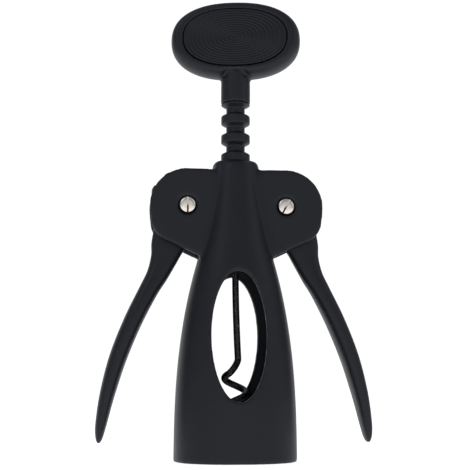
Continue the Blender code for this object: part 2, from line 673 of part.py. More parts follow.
def make_handle(parts, cutters, rack):
    """Oval plate with a collar below it; both faces are recessed for a pad."""
    centre = (0, 0, HANDLE_Z)
    turn = (0, 0, HANDLE_TURN)
    handle = loft("handle", handle_rings(HANDLE_HALF_WIDTH, HANDLE_HALF_HEIGHT,
                                         HANDLE_HALF_THICKNESS, HANDLE_RIM_ROUND, 8))
    place(handle, parts, "black_paint", centre, turn)
    collar = turned("collar", rod_profile(COLLAR_RADIUS, COLLAR_FOOT_Z, HANDLE_Z), ROUND_SIDES)
    boolean(handle, tool(collar, cutters), "UNION")
    socket = turned("spigot_socket", rod_profile(
        SPIGOT_RADIUS + GAP, COLLAR_FOOT_Z - COLLAR_LENGTH, RACK_SHOULDER_Z + SPIGOT_LENGTH + GAP),
        ROUND_SIDES)
    boolean(handle, tool(socket, cutters))

    pin_turn = (-90, 0, HANDLE_TURN)
    pin = turned("handle_grub_screw",
                 rod_profile(HANDLE_PIN_RADIUS, GAP, COLLAR_RADIUS - GAP), SMALL_SIDES)
    place(pin, parts, "steel", (0, 0, HANDLE_PIN_Z), pin_turn)
    hole = turned("handle_grub_hole",
                  rod_profile(HANDLE_PIN_RADIUS + GAP, 0, 2 * COLLAR_RADIUS), SMALL_SIDES)
    tool(hole, cutters, (0, 0, HANDLE_PIN_Z), pin_turn)
    boolean(handle, hole)
    boolean(rack, hole)

    recess_depth = PAD_THICKNESS - PAD_PROUD + GAP
    outline = superellipse(PAD_HALF_WIDTH + GAP, PAD_HALF_HEIGHT + GAP, HANDLE_POWER, BODY_SIDES)
    pad_outline = superellipse(PAD_HALF_WIDTH, PAD_HALF_HEIGHT, HANDLE_POWER, BODY_SIDES)
    for name, side in (("front", -1), ("back", 1)):
        face = Matrix.Rotation(math.radians(HANDLE_TURN), 3, "Z") @ Vector((0, side, 0))
        recess = plate("handle_recess_" + name, outline, 2 * recess_depth)
        tool(recess, cutters, Vector(centre) + face * HANDLE_HALF_THICKNESS, turn)
        boolean(handle, recess)
        pad = plate("handle_pad_" + name, pad_outline, PAD_THICKNESS)
        middle = HANDLE_HALF_THICKNESS + PAD_PROUD - PAD_THICKNESS / 2
        place(pad, parts, "black_plastic", Vector(centre) + face * middle, turn)


def main():
    clear_scene()
    parts = new_collection("lever_corkscrew")
    cutters = new_collection("cutters")
    make_body(parts, cutters)
    make_seat_ring(parts, cutters)
    make_guide_bush(parts)
    for side, sign in (("left", -1), ("right", 1)):
        make_pivot(parts, cutters, side, sign)
    make_levers(parts, cutters)
    rack = make_rack(parts, cutters)
    make_worm(parts)
    make_handle(parts, cutters, rack)


main()
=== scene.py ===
"""Detailed lever corkscrew: a bell-shaped body, two toothed levers, a ringed rack, a worm and a handle.

Each piece is a surface worked out with numpy at the place where its node stands in the frame.  The
cast pieces are joined and cut exactly, then turned into an even skin and relaxed, which rounds their
edges and fills their corners as casting and paint do.  All lengths are in metres, +Z is up and the
front is towards -Y.
"""
import json
import math

import bmesh
import bpy
import numpy as np
from bpy.props import FloatProperty, FloatVectorProperty, IntProperty, PointerProperty
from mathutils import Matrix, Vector

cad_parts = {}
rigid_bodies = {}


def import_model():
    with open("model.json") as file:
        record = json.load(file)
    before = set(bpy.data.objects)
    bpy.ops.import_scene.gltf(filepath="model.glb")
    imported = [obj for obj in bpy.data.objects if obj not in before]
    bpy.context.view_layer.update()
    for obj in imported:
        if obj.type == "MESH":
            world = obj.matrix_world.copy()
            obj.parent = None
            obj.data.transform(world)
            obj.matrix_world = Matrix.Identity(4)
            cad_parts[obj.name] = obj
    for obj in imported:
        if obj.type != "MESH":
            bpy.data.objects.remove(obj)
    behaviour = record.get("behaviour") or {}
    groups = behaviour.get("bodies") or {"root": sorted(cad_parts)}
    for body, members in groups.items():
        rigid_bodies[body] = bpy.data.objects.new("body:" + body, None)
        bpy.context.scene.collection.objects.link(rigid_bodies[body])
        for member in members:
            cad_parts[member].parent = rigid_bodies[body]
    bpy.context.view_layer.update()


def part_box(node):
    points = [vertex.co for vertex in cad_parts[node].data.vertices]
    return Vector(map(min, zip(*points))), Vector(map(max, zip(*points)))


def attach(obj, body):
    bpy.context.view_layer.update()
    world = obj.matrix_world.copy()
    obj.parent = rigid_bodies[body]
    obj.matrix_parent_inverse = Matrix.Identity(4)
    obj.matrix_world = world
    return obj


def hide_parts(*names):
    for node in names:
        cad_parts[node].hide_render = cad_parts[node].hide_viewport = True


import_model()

bl_info = {
    "name": "Lever Corkscrew",
    "version": (1, 0, 0),
    "blender": (4, 5, 0),
    "location": "3D View > Sidebar > Corkscrew",
    "description": "Builds a detailed lever corkscrew on its packed frame",
    "category": "Add Mesh",
}

TAU = math.tau
GAP = 0.0003                       # running or seating gap between two pieces
EXTRA = 0.0001                     # how far a shape runs past the cut that trims it
WINDOW_REACH = 0.05                # how far these cuts run from the middle, past what they cut
PIVOT_REACH = 0.02
GRUB_REACH = 0.012


def middle(node):
    """Middle of a node's box at rest."""
    low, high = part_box(node)
    return (np.array(low) + np.array(high)) / 2


PIVOTS = {side: middle(side + "_pivot_screw") * (1, 0, 1) for side in ("left", "right")}
RACK_FOOT, RACK_TOP = (corner[2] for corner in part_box("rack"))
COLLAR_FOOT, HANDLE_TOP = (corner[2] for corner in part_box("handle"))
WORM_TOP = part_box("worm")[1][2]
HEAD_FRONT = -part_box("left_pivot_screw")[0][1]
HEAD_SHOWN = 0.00042               # depth of the domed part of the heads, which the painted slot shade leaves out


# ---------------------------------------------------------------- sizes and colours

class BodySizes(bpy.types.PropertyGroup):
    """Sizes of the bell, the column and the ears."""

    mouth_half_width: FloatProperty(
        name="Mouth half width", description="Half the bell's width at its rim", default=0.0242,
        unit="LENGTH")
    mouth_half_depth: FloatProperty(
        name="Mouth half depth", description="Half the bell's depth at its rim", default=0.02,
        unit="LENGTH")
    throat_half_width: FloatProperty(
        name="Throat half width", description="Half the width where bell and column meet",
        default=0.0155, unit="LENGTH")
    throat_half_depth: FloatProperty(
        name="Throat half depth", description="Half the depth where bell and column meet",
        default=0.0146, unit="LENGTH")
    column_half_size: FloatProperty(
        name="Column half size", description="Half the column's width and depth at its top",
        default=0.0094, unit="LENGTH")
    bell_height: FloatProperty(
        name="Bell height", description="Height of the bell", default=0.0784, unit="LENGTH")
    column_height: FloatProperty(
        name="Column height", description="Height of the column above the bell", default=0.0412,
        unit="LENGTH")
    width_curve: FloatProperty(
        name="Width curve", description="How late the bell's width turns in towards the throat",
        default=2.55, subtype="FACTOR")
    depth_curve: FloatProperty(
        name="Depth curve", description="How late the bell's depth turns in towards the throat",
        default=2.2, subtype="FACTOR")
    section_power: FloatProperty(
        name="Section power", description="Superellipse power of the body's section", default=2.3,
        subtype="FACTOR")
    wall: FloatProperty(
        name="Wall", description="Thickness of the bell's wall", default=0.0027, unit="LENGTH")
    shoulder_radius: FloatProperty(
        name="Shoulder radius", description="Rounding of the column's top edge", default=0.0027,
        unit="LENGTH")
    window_height: FloatProperty(
        name="Window place", description="Height of the window's middle", default=0.0482,
        unit="LENGTH")
    window_half_width: FloatProperty(
        name="Window half width", description="Half the window's width", default=0.0107,
        unit="LENGTH")
    window_half_height: FloatProperty(
        name="Window half height", description="Half the window's height", default=0.0253,
        unit="LENGTH")
    ear_radius: FloatProperty(
        name="Ear radius", description="Radius of the ears round the pivots", default=0.015,
        unit="LENGTH")
    ear_thickness: FloatProperty(
        name="Ear thickness", description="Thickness of each ear", default=0.0023, unit="LENGTH")
    heel_radius: FloatProperty(
        name="Heel radius", description="Radius of the ears' lower outer corner", default=0.0095,
        unit="LENGTH")
    heel_out: FloatProperty(
        name="Heel out", description="How far the heel's middle is outside the pivot",
        default=0.005, unit="LENGTH")
    heel_down: FloatProperty(
        name="Heel down", description="How far the heel's middle is below the pivot",
        default=0.0053, unit="LENGTH")
    ear_foot: FloatProperty(
        name="Ear foot", description="Height where the ears' lower edge meets the bell",
        default=0.0795, unit="LENGTH")
    roof_drop: FloatProperty(
        name="Roof drop", description="Roof of the bell's hollow below the throat", default=0.0006,
        unit="LENGTH")
    crease_depth: FloatProperty(
        name="Crease depth", description="Depth of the crease between the ears and the column",
        default=0.0005, unit="LENGTH")
    slot_radius: FloatProperty(
        name="Gear slot radius", description="Radius of the slot that each toothed sector turns in",
        default=0.016299, unit="LENGTH")
    slot_half_width: FloatProperty(
        name="Gear slot half width", description="Half the width of the slot between the ears",
        default=0.0049, unit="LENGTH")
    skin: FloatProperty(
        name="Skin", description="Size of the facets on the body's even skin", default=0.00065,
        unit="LENGTH")


class SeatSizes(bpy.types.PropertyGroup):
    """Sizes of the seat ring and the guide bush."""

    bottom: FloatProperty(
        name="Ring bottom", description="Height of the seat ring's underside", default=0.005,
        unit="LENGTH")
    seat: FloatProperty(
        name="Seat height", description="Height of the shoulder that meets a bottle", default=0.014,
        unit="LENGTH")
    top: FloatProperty(
        name="Ring top", description="Height of the seat ring's upper side", default=0.0185,
        unit="LENGTH")
    cup_radius: FloatProperty(
        name="Cup radius", description="Radius of the cup for the bottle's lip", default=0.0158,
        unit="LENGTH")
    cork_radius: FloatProperty(
        name="Cork hole radius", description="Radius of the hole for the cork", default=0.0125,
        unit="LENGTH")
    bore_radius: FloatProperty(
        name="Bush bore", description="Radius of the guide bush's bore", default=0.0063,
        unit="LENGTH")
    bush_radius: FloatProperty(
        name="Bush radius", description="Outer radius of the guide bush", default=0.0081,
        unit="LENGTH")
    bush_length: FloatProperty(
        name="Bush length", description="Length of the bush in the throat", default=0.0102,
        unit="LENGTH")
    flange_width: FloatProperty(
        name="Flange width", description="How far the bush's flange stands out", default=0.0016,
        unit="LENGTH")
    flange_thickness: FloatProperty(
        name="Flange thickness", description="Thickness of the bush's flange", default=0.0015,
        unit="LENGTH")


class RackSizes(bpy.types.PropertyGroup):
    """Sizes of the ringed rack."""

    pitch: FloatProperty(
        name="Ring pitch", description="Distance from one ring to the next", default=0.008,
        unit="LENGTH")
    grooves: IntProperty(
        name="Grooves", description="Number of grooves", default=7, subtype="UNSIGNED")
    ring_radius: FloatProperty(
        name="Ring radius", description="Outer radius of the rings", default=0.0059, unit="LENGTH")
    groove_radius: FloatProperty(
        name="Groove radius", description="Radius at the grooves' floor", default=0.0038,
        unit="LENGTH")
    groove_floor: FloatProperty(
        name="Groove floor", description="Width of each groove's floor", default=0.0024,
        unit="LENGTH")
    groove_mouth: FloatProperty(
        name="Groove mouth", description="Width of each groove's mouth", default=0.0048,
        unit="LENGTH")
    tail: FloatProperty(
        name="Tail", description="Plain rack below the lowest groove's middle", default=0.014,
        unit="LENGTH")
    land: FloatProperty(
        name="Land", description="Full-radius stretch above the top groove", default=0.0004,
        unit="LENGTH")
    spigot_radius: FloatProperty(
        name="Spigot radius", description="Radius of the spigot in the handle", default=0.0036,
        unit="LENGTH")
    softness: FloatProperty(
        name="Softness", description="How far the rings' corners are rounded", default=0.00038,
        unit="LENGTH")
    grub_radius: FloatProperty(
        name="Grub screw radius", description="Radius of the screw that holds the worm",
        default=0.0015, unit="LENGTH")
    grub_height: FloatProperty(
        name="Grub screw place",
        description="Height of the worm's grub screw above the rack's foot", default=0.005,
        unit="LENGTH")


class WormSizes(bpy.types.PropertyGroup):
    """Sizes of the worm."""

    wire_radius: FloatProperty(
        name="Wire radius", description="Radius of the wire", default=0.00135, unit="LENGTH")
    helix_radius: FloatProperty(
        name="Helix radius", description="Radius of the helix's centre line", default=0.00425,
        unit="LENGTH")
    pitch: FloatProperty(
        name="Pitch", description="Height of one turn", default=0.0115, unit="LENGTH")
    tip: FloatProperty(name="Tip", description="Height of the point", default=0.003, unit="LENGTH")
    leftmost: FloatProperty(
        name="Leftmost height", description="Height where the first turn is at its leftmost",
        default=0.0323, unit="LENGTH")
    swing: FloatProperty(
        name="Swing height", description="Height where the shank starts to swing out",
        default=0.0399, unit="LENGTH")
    swing_pull: FloatProperty(
        name="Swing pull", description="Length of the swing's tangents", default=0.0056,
        unit="LENGTH")
    start_angle: FloatProperty(
        name="Start angle", description="Angle of the helix's first point before the leftmost",
        default=math.radians(44), subtype="ANGLE")
    lean: FloatProperty(
        name="Lean", description="How far the shank's foot is off the axis", default=0.0011,
        unit="LENGTH")
    point_length: FloatProperty(
        name="Point length", description="Height over which the wire thins to its point",
        default=0.009, unit="LENGTH")


class HandleSizes(bpy.types.PropertyGroup):
    """Sizes of the handle and its pads."""

    half_width: FloatProperty(
        name="Half width", description="Half the plate's width", default=0.0268, unit="LENGTH")
    half_height: FloatProperty(
        name="Half height", description="Half the plate's height", default=0.0163, unit="LENGTH")
    half_thickness: FloatProperty(
        name="Half thickness", description="Half the plate's thickness", default=0.0063,
        unit="LENGTH")
    power: FloatProperty(
        name="Outline power", description="Superellipse power of the outline", default=2.3,
        subtype="FACTOR")
    rim_round: FloatProperty(
        name="Rim rounding", description="How far the faces draw in from the rim", default=0.003,
        unit="LENGTH")
    turn: FloatProperty(
        name="Turn", description="How far the plate is turned about the rack",
        default=math.radians(-8.6), subtype="ANGLE")
    collar_radius: FloatProperty(
        name="Collar radius", description="Radius of the collar", default=0.006, unit="LENGTH")
    pad_half_width: FloatProperty(
        name="Pad half width", description="Half the pads' width", default=0.02115, unit="LENGTH")
    pad_half_height: FloatProperty(
        name="Pad half height", description="Half the pads' height", default=0.01195, unit="LENGTH")
    pad_thickness: FloatProperty(
        name="Pad thickness", description="Thickness of the pads", default=0.0022, unit="LENGTH")
    pad_proud: FloatProperty(
        name="Pad proud", description="How far the pads stand out of the plate", default=0.0005,
        unit="LENGTH")
    arch_half_width: FloatProperty(
        name="Arch half width", description="Half width of the crease over the collar",
        default=0.0047, unit="LENGTH")
    arch_height: FloatProperty(
        name="Arch height", description="Height of that crease above the plate's foot",
        default=0.0027, unit="LENGTH")
    arch_depth: FloatProperty(
        name="Arch depth", description="Depth of the line where the collar meets the plate",
        default=0.0006, unit="LENGTH")
    groove_count: IntProperty(
        name="Groove count", description="Number of grooves from the pad's middle to its edge",
        default=12, subtype="UNSIGNED")
    groove_depth: FloatProperty(
        name="Groove depth", description="Depth of the pads' grooves", default=0.00026,
        unit="LENGTH")
    pin_radius: FloatProperty(
        name="Grub screw radius", description="Radius of the handle's grub screw", default=0.001,
        unit="LENGTH")
    pin_height: FloatProperty(
        name="Grub screw place", description="Height of the grub screw above the collar's foot",
        default=0.006, unit="LENGTH")


class LeverSizes(bpy.types.PropertyGroup):
    """Sizes of the toothed levers."""

    full_teeth: IntProperty(
        name="Teeth in full", description="Teeth that a full gear would have", default=12,
        subtype="UNSIGNED")
    teeth: IntProperty(
        name="Teeth", description="Teeth that each lever has", default=7, subtype="UNSIGNED")
    tip_radius: FloatProperty(
        name="Tip radius", description="Radius over the teeth", default=0.015699, unit="LENGTH")
    root_radius: FloatProperty(
        name="Root radius", description="Radius between the teeth", default=0.013599, unit="LENGTH")
    tooth_thickness: FloatProperty(
        name="Tooth thickness", description="Thickness of a tooth on the pitch circle",
        default=0.00285, unit="LENGTH")
    mesh_lift: FloatProperty(
        name="Mesh lift", description="Height of the meshing groove above the pivots",
        default=0.0006, unit="LENGTH")
    half_thickness: FloatProperty(
        name="Gear half thickness", description="Half the thickness of the toothed sector",
        default=0.0038, unit="LENGTH")
    arm_power: FloatProperty(
        name="Arm power", description="Superellipse power of the arms' section", default=2.5,
        subtype="FACTOR")
    skin: FloatProperty(
        name="Skin", description="Size of the facets on the levers' even skin", default=0.00042,
        unit="LENGTH")


class PivotSizes(bpy.types.PropertyGroup):
    """Sizes of the pivot screws, sleeve nuts and washers."""

    screw_radius: FloatProperty(
        name="Screw radius", description="Radius of the pivot screws", default=0.0016,
        unit="LENGTH")
    sleeve_radius: FloatProperty(
        name="Sleeve radius", description="Radius of the sleeves that the levers turn on",
        default=0.0026, unit="LENGTH")
    head_radius: FloatProperty(
        name="Head radius", description="Radius of the heads", default=0.0032, unit="LENGTH")
    head_height: FloatProperty(
        name="Head height", description="Height of the heads", default=0.0017, unit="LENGTH")
    head_dome: FloatProperty(
        name="Head dome", description="How far the heads are domed", default=0.00035, unit="LENGTH")
    recess_clearance: FloatProperty(
        name="Recess clearance", description="Gap round the heads in the ears", default=0.00065,
        unit="LENGTH")
    recess_depth: FloatProperty(
        name="Recess depth", description="Depth of the recesses in the ears", default=0.0013,
        unit="LENGTH")
    slot_width: FloatProperty(
        name="Slot width", description="Width of the screwdriver slots", default=0.0007,
        unit="LENGTH")
    slot_depth: FloatProperty(
        name="Slot depth", description="Depth of the screwdriver slots", default=0.0008,
        unit="LENGTH")
    left_slot: FloatProperty(
        name="Left slot turn", description="Turn of the left screw's slot",
        default=math.radians(90), subtype="ANGLE")
    right_slot: FloatProperty(
        name="Right slot turn", description="Turn of the right screw's slot",
        default=math.radians(62), subtype="ANGLE")
    washer_radius: FloatProperty(
        name="Washer radius", description="Radius of the washers", default=0.006, unit="LENGTH")
    washer_thickness: FloatProperty(
        name="Washer thickness", description="Thickness of the washers", default=0.0005,
        unit="LENGTH")


class FinishColours(bpy.types.PropertyGroup):
    """Colours of the finishes."""

    paint: FloatVectorProperty(
        name="Paint", description="Satin paint on the body, levers, rack and handle",
        default=(0.0062, 0.0076, 0.0104), subtype="COLOR")
    plastic: FloatVectorProperty(
        name="Plastic", description="Moulded plastic of the pads and the seat ring",
        default=(0.0066, 0.0070, 0.0092), subtype="COLOR")
    coating: FloatVectorProperty(
        name="Worm coating", description="Slippery coating on the worm",
        default=(0.005, 0.005, 0.0054), subtype="COLOR")
    nickel: FloatVectorProperty(
        name="Nickel", description="Plating on the pivot screws", default=(0.82, 0.76, 0.67),
        subtype="COLOR")
    steel: FloatVectorProperty(
        name="Steel", description="Bare steel of the washers and grub screws",
        default=(0.45, 0.45, 0.46), subtype="COLOR")
    nylon: FloatVectorProperty(
        name="Nylon", description="White nylon of the guide bush", default=(0.70, 0.69, 0.65),
        subtype="COLOR")


class StageSettings(bpy.types.PropertyGroup):
    """The floor, the light and the camera."""

    floor_size: FloatProperty(
        name="Floor size", description="Radius of the floor", default=3.0, unit="LENGTH")
    floor_colour: FloatVectorProperty(
        name="Floor colour", description="Colour of the floor", default=(0.9, 0.9, 0.9),
        subtype="COLOR")
    camera_place: FloatVectorProperty(
        name="Camera place", description="Where the camera stands",
        default=(-0.0418, -0.3963, 0.0299), subtype="TRANSLATION")
    camera_turn: FloatVectorProperty(
        name="Camera turn", description="How the camera is turned",
        default=(math.radians(98.51), math.radians(-0.07), math.radians(-6.01)), subtype="EULER")
    lens: FloatProperty(
        name="Focal length", description="Focal length of the camera in millimetres", default=76.18,
        subtype="DISTANCE_CAMERA")
    key_power: FloatProperty(
        name="Key power", description="Power of the soft light from the upper left", default=1.1,
        unit="POWER")
    sky: FloatProperty(
        name="Sky", description="Brightness of the room at eye level", default=1.05,
        subtype="FACTOR")


# ---------------------------------------------------------------- surfaces

def finished(mesh, angle=38.0):
    """The mesh with doubles merged and faces outwards, smooth except at edges above the angle."""
    bm = bmesh.new()
    bm.from_mesh(mesh)
    bmesh.ops.remove_doubles(bm, verts=bm.verts, dist=1e-7)
    bmesh.ops.recalc_face_normals(bm, faces=bm.faces)
    bm.to_mesh(mesh)
    bm.free()
    mesh.shade_smooth()
    mesh.set_sharp_from_angle(angle=math.radians(angle))
    return mesh


def surface(name, points):
    """Mesh of a grid of points that closes on itself along its second side.

    Four neighbours in the grid make a face.  A row that has shrunk to one point becomes a pole.
    """
    rows, columns = points.shape[:2]
    index = np.arange(rows * columns).reshape(rows, columns)
    ahead = np.roll(index, -1, axis=1)
    faces = np.stack([index[:-1], ahead[:-1], ahead[1:], index[1:]], axis=-1).reshape(-1, 4)
    mesh = bpy.data.meshes.new(name)
    mesh.vertices.add(rows * columns)
    mesh.vertices.foreach_set("co", points.astype(np.float32).ravel())
    mesh.loops.add(faces.size)
    mesh.loops.foreach_set("vertex_index", faces.astype(np.int32).ravel())
    mesh.polygons.add(len(faces))
    mesh.polygons.foreach_set("loop_start", np.arange(0, faces.size, 4, dtype=np.int32))
    mesh.update(calc_edges=True)
    return finished(mesh)


def capped(rings):
    """The rings with one more at each end, shrunk to that end's middle."""
    ends = np.broadcast_to(rings[[0, -1]].mean(axis=1, keepdims=True), rings[[0, -1]].shape)
    return np.concatenate([ends[:1], rings, ends[1:]])


def angles(sides):
    """Equal angles round a full turn."""
    return np.arange(sides) * TAU / sides


def superellipse(half_width, half_height, power, sides):
    """Points of |x/a|^n + |y/b|^n = 1, at equal angles of its parameter: x = a |cos|^(2/n), signed."""
    cosine, sine = np.cos(angles(sides)), np.sin(angles(sides))
    return (half_width * np.sign(cosine) * np.abs(cosine) ** (2 / power),
            half_height * np.sign(sine) * np.abs(sine) ** (2 / power))


def turned(profile, sides=64):
    """Profile of (radius, height) carried round Z: x = r cos, y = r sin, z = height."""
    radius, height = np.asarray(profile, float).T[:, :, None]
    turn = angles(sides)
    return np.stack([radius * np.cos(turn), radius * np.sin(turn), height + 0 * turn], axis=-1)


def rounded(profile, reach, steps=5):
    """Profile with each inner corner as a quadratic curve that starts and ends a reach from it."""
    profile = np.asarray(profile, float)
    before, corner, after = profile[:-2, None], profile[1:-1, None], profile[2:, None]
    t = np.linspace(0, 1, steps)[None, :, None]
    sides = []
    for other in (before, after):
        length = np.linalg.norm(other - corner, axis=-1, keepdims=True)
        sides.append(corner + (other - corner) * np.minimum(reach / length, 0.45))
    curve = (1 - t) ** 2 * sides[0] + 2 * t * (1 - t) * corner + t ** 2 * sides[1]
    return np.concatenate([profile[:1], curve.reshape(-1, 2), profile[-1:]])


def rounded_loop(profile, reach, steps=5):
    """A closed profile with every corner rounded, its first point repeated at the end."""
    loop = rounded([profile[-1], *profile, profile[0]], reach, steps)[1:-1]
    return np.concatenate([loop, loop[:1]])


def rod(radius, bottom, top, sides=64):
    """Plain rod about Z."""
    return turned([(0, top), (radius, top), (radius, bottom), (0, bottom)], sides)


def upright(points, place):
    """Shape made about Z, laid over so that its top looks to the front, at a place."""
    return np.stack([points[..., 0], -points[..., 2], points[..., 1]], axis=-1) + place


def spun(points, turn, place=(0, 0, 0)):
    """Points turned about Z and then moved."""
    cosine, sine = math.cos(turn), math.sin(turn)
    return np.stack([points[..., 0] * cosine - points[..., 1] * sine,
                     points[..., 0] * sine + points[..., 1] * cosine, points[..., 2]], axis=-1) + place


def slab(outline, low, high):
    """Upright plate: an outline of (x, z) points carried along Y from low to high."""
    x, z = np.asarray(outline, float).T
    return capped(np.stack([np.stack([x, np.full_like(x, y), z], axis=-1) for y in (low, high)]))


def round_discs(centres, radii, sides=720):
    """Convex outline round discs: in each direction, the point of the disc that reaches furthest."""
    centres, radii = np.asarray(centres, float), np.asarray(radii, float)
    direction = np.stack([np.cos(angles(sides)), np.sin(angles(sides))], axis=-1)
    furthest = (centres @ direction.T + radii[:, None]).argmax(axis=0)
    return centres[furthest] + radii[furthest][:, None] * direction


def through(stations, steps):
    """Catmull-Rom curve through the stations, each span worked out at equal steps of its cubic."""
    ends = np.concatenate([stations[:1], stations, stations[-1:]])
    p, q, r, s = (ends[i:len(ends) - 3 + i, None] for i in range(4))
    t = (np.arange(steps) / steps)[None, :, None]
    curve = (2 * q + (r - p) * t + (2 * p - 5 * q + 4 * r - s) * t ** 2
             + (3 * q - p - 3 * r + s) * t ** 3) / 2
    return np.concatenate([curve.reshape(-1, stations.shape[1]), stations[-1:]])


def tube(path, radius, sides=28):
    """Circle of each point's radius, square to the path: centre + r cos n + r sin b."""
    along = np.gradient(path, axis=0)
    along /= np.linalg.norm(along, axis=1, keepdims=True)
    normal = np.cross(along, (1.0, 0.0, 0.0))
    normal /= np.linalg.norm(normal, axis=1, keepdims=True)
    across = np.cross(along, normal)
    turn = angles(sides)[None, :, None]
    return capped(path[:, None] + radius[:, None, None]
                  * (np.cos(turn) * normal[:, None] + np.sin(turn) * across[:, None]))


# ---------------------------------------------------------------- joined and cut pieces

def joined_and_cut(base, steps, skin=0.0):
    """Mesh of the base after exact unions and differences with other meshes, one after another.

    With a skin, the result is covered again in even faces of that size.
    """
    scene = bpy.context.scene.collection.objects
    piece = bpy.data.objects.new("work", base)
    scene.link(piece)
    others = []
    for operation, mesh in steps:
        other = bpy.data.objects.new("work_tool", mesh)
        scene.link(other)
        others.append(other)
        boolean = piece.modifiers.new("Cut", "BOOLEAN")
        boolean.operation = operation
        boolean.object = other
        boolean.solver = "EXACT"
    if skin:
        remesh = piece.modifiers.new("Skin", "REMESH")
        remesh.mode = "VOXEL"
        remesh.voxel_size = skin
    evaluated = piece.evaluated_get(bpy.context.evaluated_depsgraph_get())
    mesh = bpy.data.meshes.new_from_object(evaluated)
    for obj in (piece, *others):
        data = obj.data
        bpy.data.objects.remove(obj)
        bpy.data.meshes.remove(data)
    if not mesh.polygons:
        raise RuntimeError("joining and cutting left nothing")
    return mesh


def relaxed(mesh, *passes):
    """The mesh with each point moved towards its neighbours' mean, by its weight, round after round.

    Each pass is a number of rounds and a weight, or a function that gives the points' weights.
    """
    count = len(mesh.vertices)
    points = np.empty(count * 3, np.float32)
    mesh.vertices.foreach_get("co", points)
    points = points.reshape(-1, 3).astype(float)
    edges = np.empty(len(mesh.edges) * 2, np.int32)
    mesh.edges.foreach_get("vertices", edges)
    start, end = edges.reshape(-1, 2).T
    start, end = np.concatenate([start, end]), np.concatenate([end, start])
    neighbours = np.bincount(start, minlength=count)[:, None]
    for rounds, weight in passes:
        share = weight(points) if callable(weight) else np.full(count, weight)
        for _ in range(rounds):
            total = np.stack([np.bincount(start, points[end, axis], count) for axis in range(3)],
                             axis=1)
            points += share[:, None] * (total / neighbours - points)
    mesh.vertices.foreach_set("co", points.astype(np.float32).ravel())
    mesh.update()
    mesh.shade_smooth()
    return mesh


def pressed(mesh, depth, weight):
    """The mesh with its points pushed in along their normals, by the depth times their weights."""
    count = len(mesh.vertices)
    points, normals = np.empty(count * 3, np.float32), np.empty(count * 3, np.float32)
    mesh.vertices.foreach_get("co", points)
    mesh.vertex_normals.foreach_get("vector", normals)
    points = points.reshape(-1, 3)
    points = points - depth * weight(points.astype(float))[:, None] * normals.reshape(-1, 3)
    mesh.vertices.foreach_set("co", points.astype(np.float32).ravel())
    mesh.update()
    return mesh


def near(value, target, width):
    """Bell curve: 1 where the value is at the target, falling off over the width."""
    return np.exp(-((value - target) / width) ** 2)


def settle(name, mesh, finish, body, *nodes):
    """Object at the origin with its finish, which rides on a body and stands for nodes of the frame."""
    piece = bpy.data.objects.new(name, mesh)
    mesh.name = name
    bpy.context.scene.collection.objects.link(piece)
    mesh.materials.clear()
    mesh.materials.append(FINISHES[finish]())
    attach(piece, body)
    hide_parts(*nodes)


# ---------------------------------------------------------------- finishes

class Wire:
    """A node's output in a material.  Sums on it add Math nodes."""

    def __init__(self, tree, socket=None):
        self.tree = tree
        self.socket = socket

    def node(self, kind, settings=(), inputs=(), output=0):
        """New node of a type: its settings are set first, then its inputs' values or links."""
        node = self.tree.nodes.new("ShaderNode" + kind)
        for name, value in dict(settings).items():
            setattr(node, name, value)
        for name, value in dict(inputs).items():
            if isinstance(value, Wire):
                self.tree.links.new(value.socket, node.inputs[name])
            else:
                node.inputs[name].default_value = value
        return Wire(self.tree, node.outputs[output])

    def maths(self, operation, *values):
        """Math node of an operation on values or wires."""
        return self.node("Math", {"operation": operation}, enumerate(values))

    def __add__(self, other):
        return self.maths("ADD", self, other)

    def __radd__(self, other):
        return self.maths("ADD", other, self)

    def __sub__(self, other):
        return self.maths("SUBTRACT", self, other)

    def __rsub__(self, other):
        return self.maths("SUBTRACT", other, self)

    def __mul__(self, other):
        return self.maths("MULTIPLY", self, other)

    def __rmul__(self, other):
        return self.maths("MULTIPLY", other, self)

    def __pow__(self, other):
        return self.maths("POWER", self, other)

    def __abs__(self):
        return self.maths("ABSOLUTE", self)

    def clamped(self):
        """The value held between 0 and 1."""
        return self.node("Clamp", (), {"Value": self})

    def axis(self, name):
        """One axis of a vector."""
        return self.node("SeparateXYZ", (), {"Vector": self}, "XYZ".index(name))

    def noise(self, size, detail=2.0, roughness=0.5):
        """Noise over this vector, from 0 to 1, with features of about the size in metres."""
        return self.node("TexNoise", (), {"Vector": self, "Scale": 1 / size, "Detail": detail,
                                          "Roughness": roughness})

    def mixed(self, first, second):
        """Colour between two others, by this value."""
        return self.node("Mix", {"data_type": "RGBA"}, {0: self, 6: first, 7: second}, 2)

    def bumped(self, height, strength=1.0):
        """Normal from this value as a height between 0 and 1, times a height in metres."""
        return self.node("Bump", (), {"Height": self, "Distance": height, "Strength": strength})


def shade(colour, factor):
    """A colour times a factor, as a node's colour."""
    return (*(min(1.0, part * factor) for part in colour), 1.0)


def finish(name, constants):
    """A new material with constants on its shader: the material, the shader, Object coordinates."""
    material = bpy.data.materials.new(name)
    material.use_nodes = True
    shader = material.node_tree.nodes["Principled BSDF"]
    for socket, value in constants.items():
        shader.inputs[socket].default_value = value
    here = Wire(material.node_tree).node("TexCoord", output="Object")
    return material, shader, here


def connect(material, shader, **wires):
    """The material, with wires linked to its shader's sockets of the same names."""
    for name, wire in wires.items():
        material.node_tree.links.new(wire.socket, shader.inputs[name.replace("_", " ")])
    return material


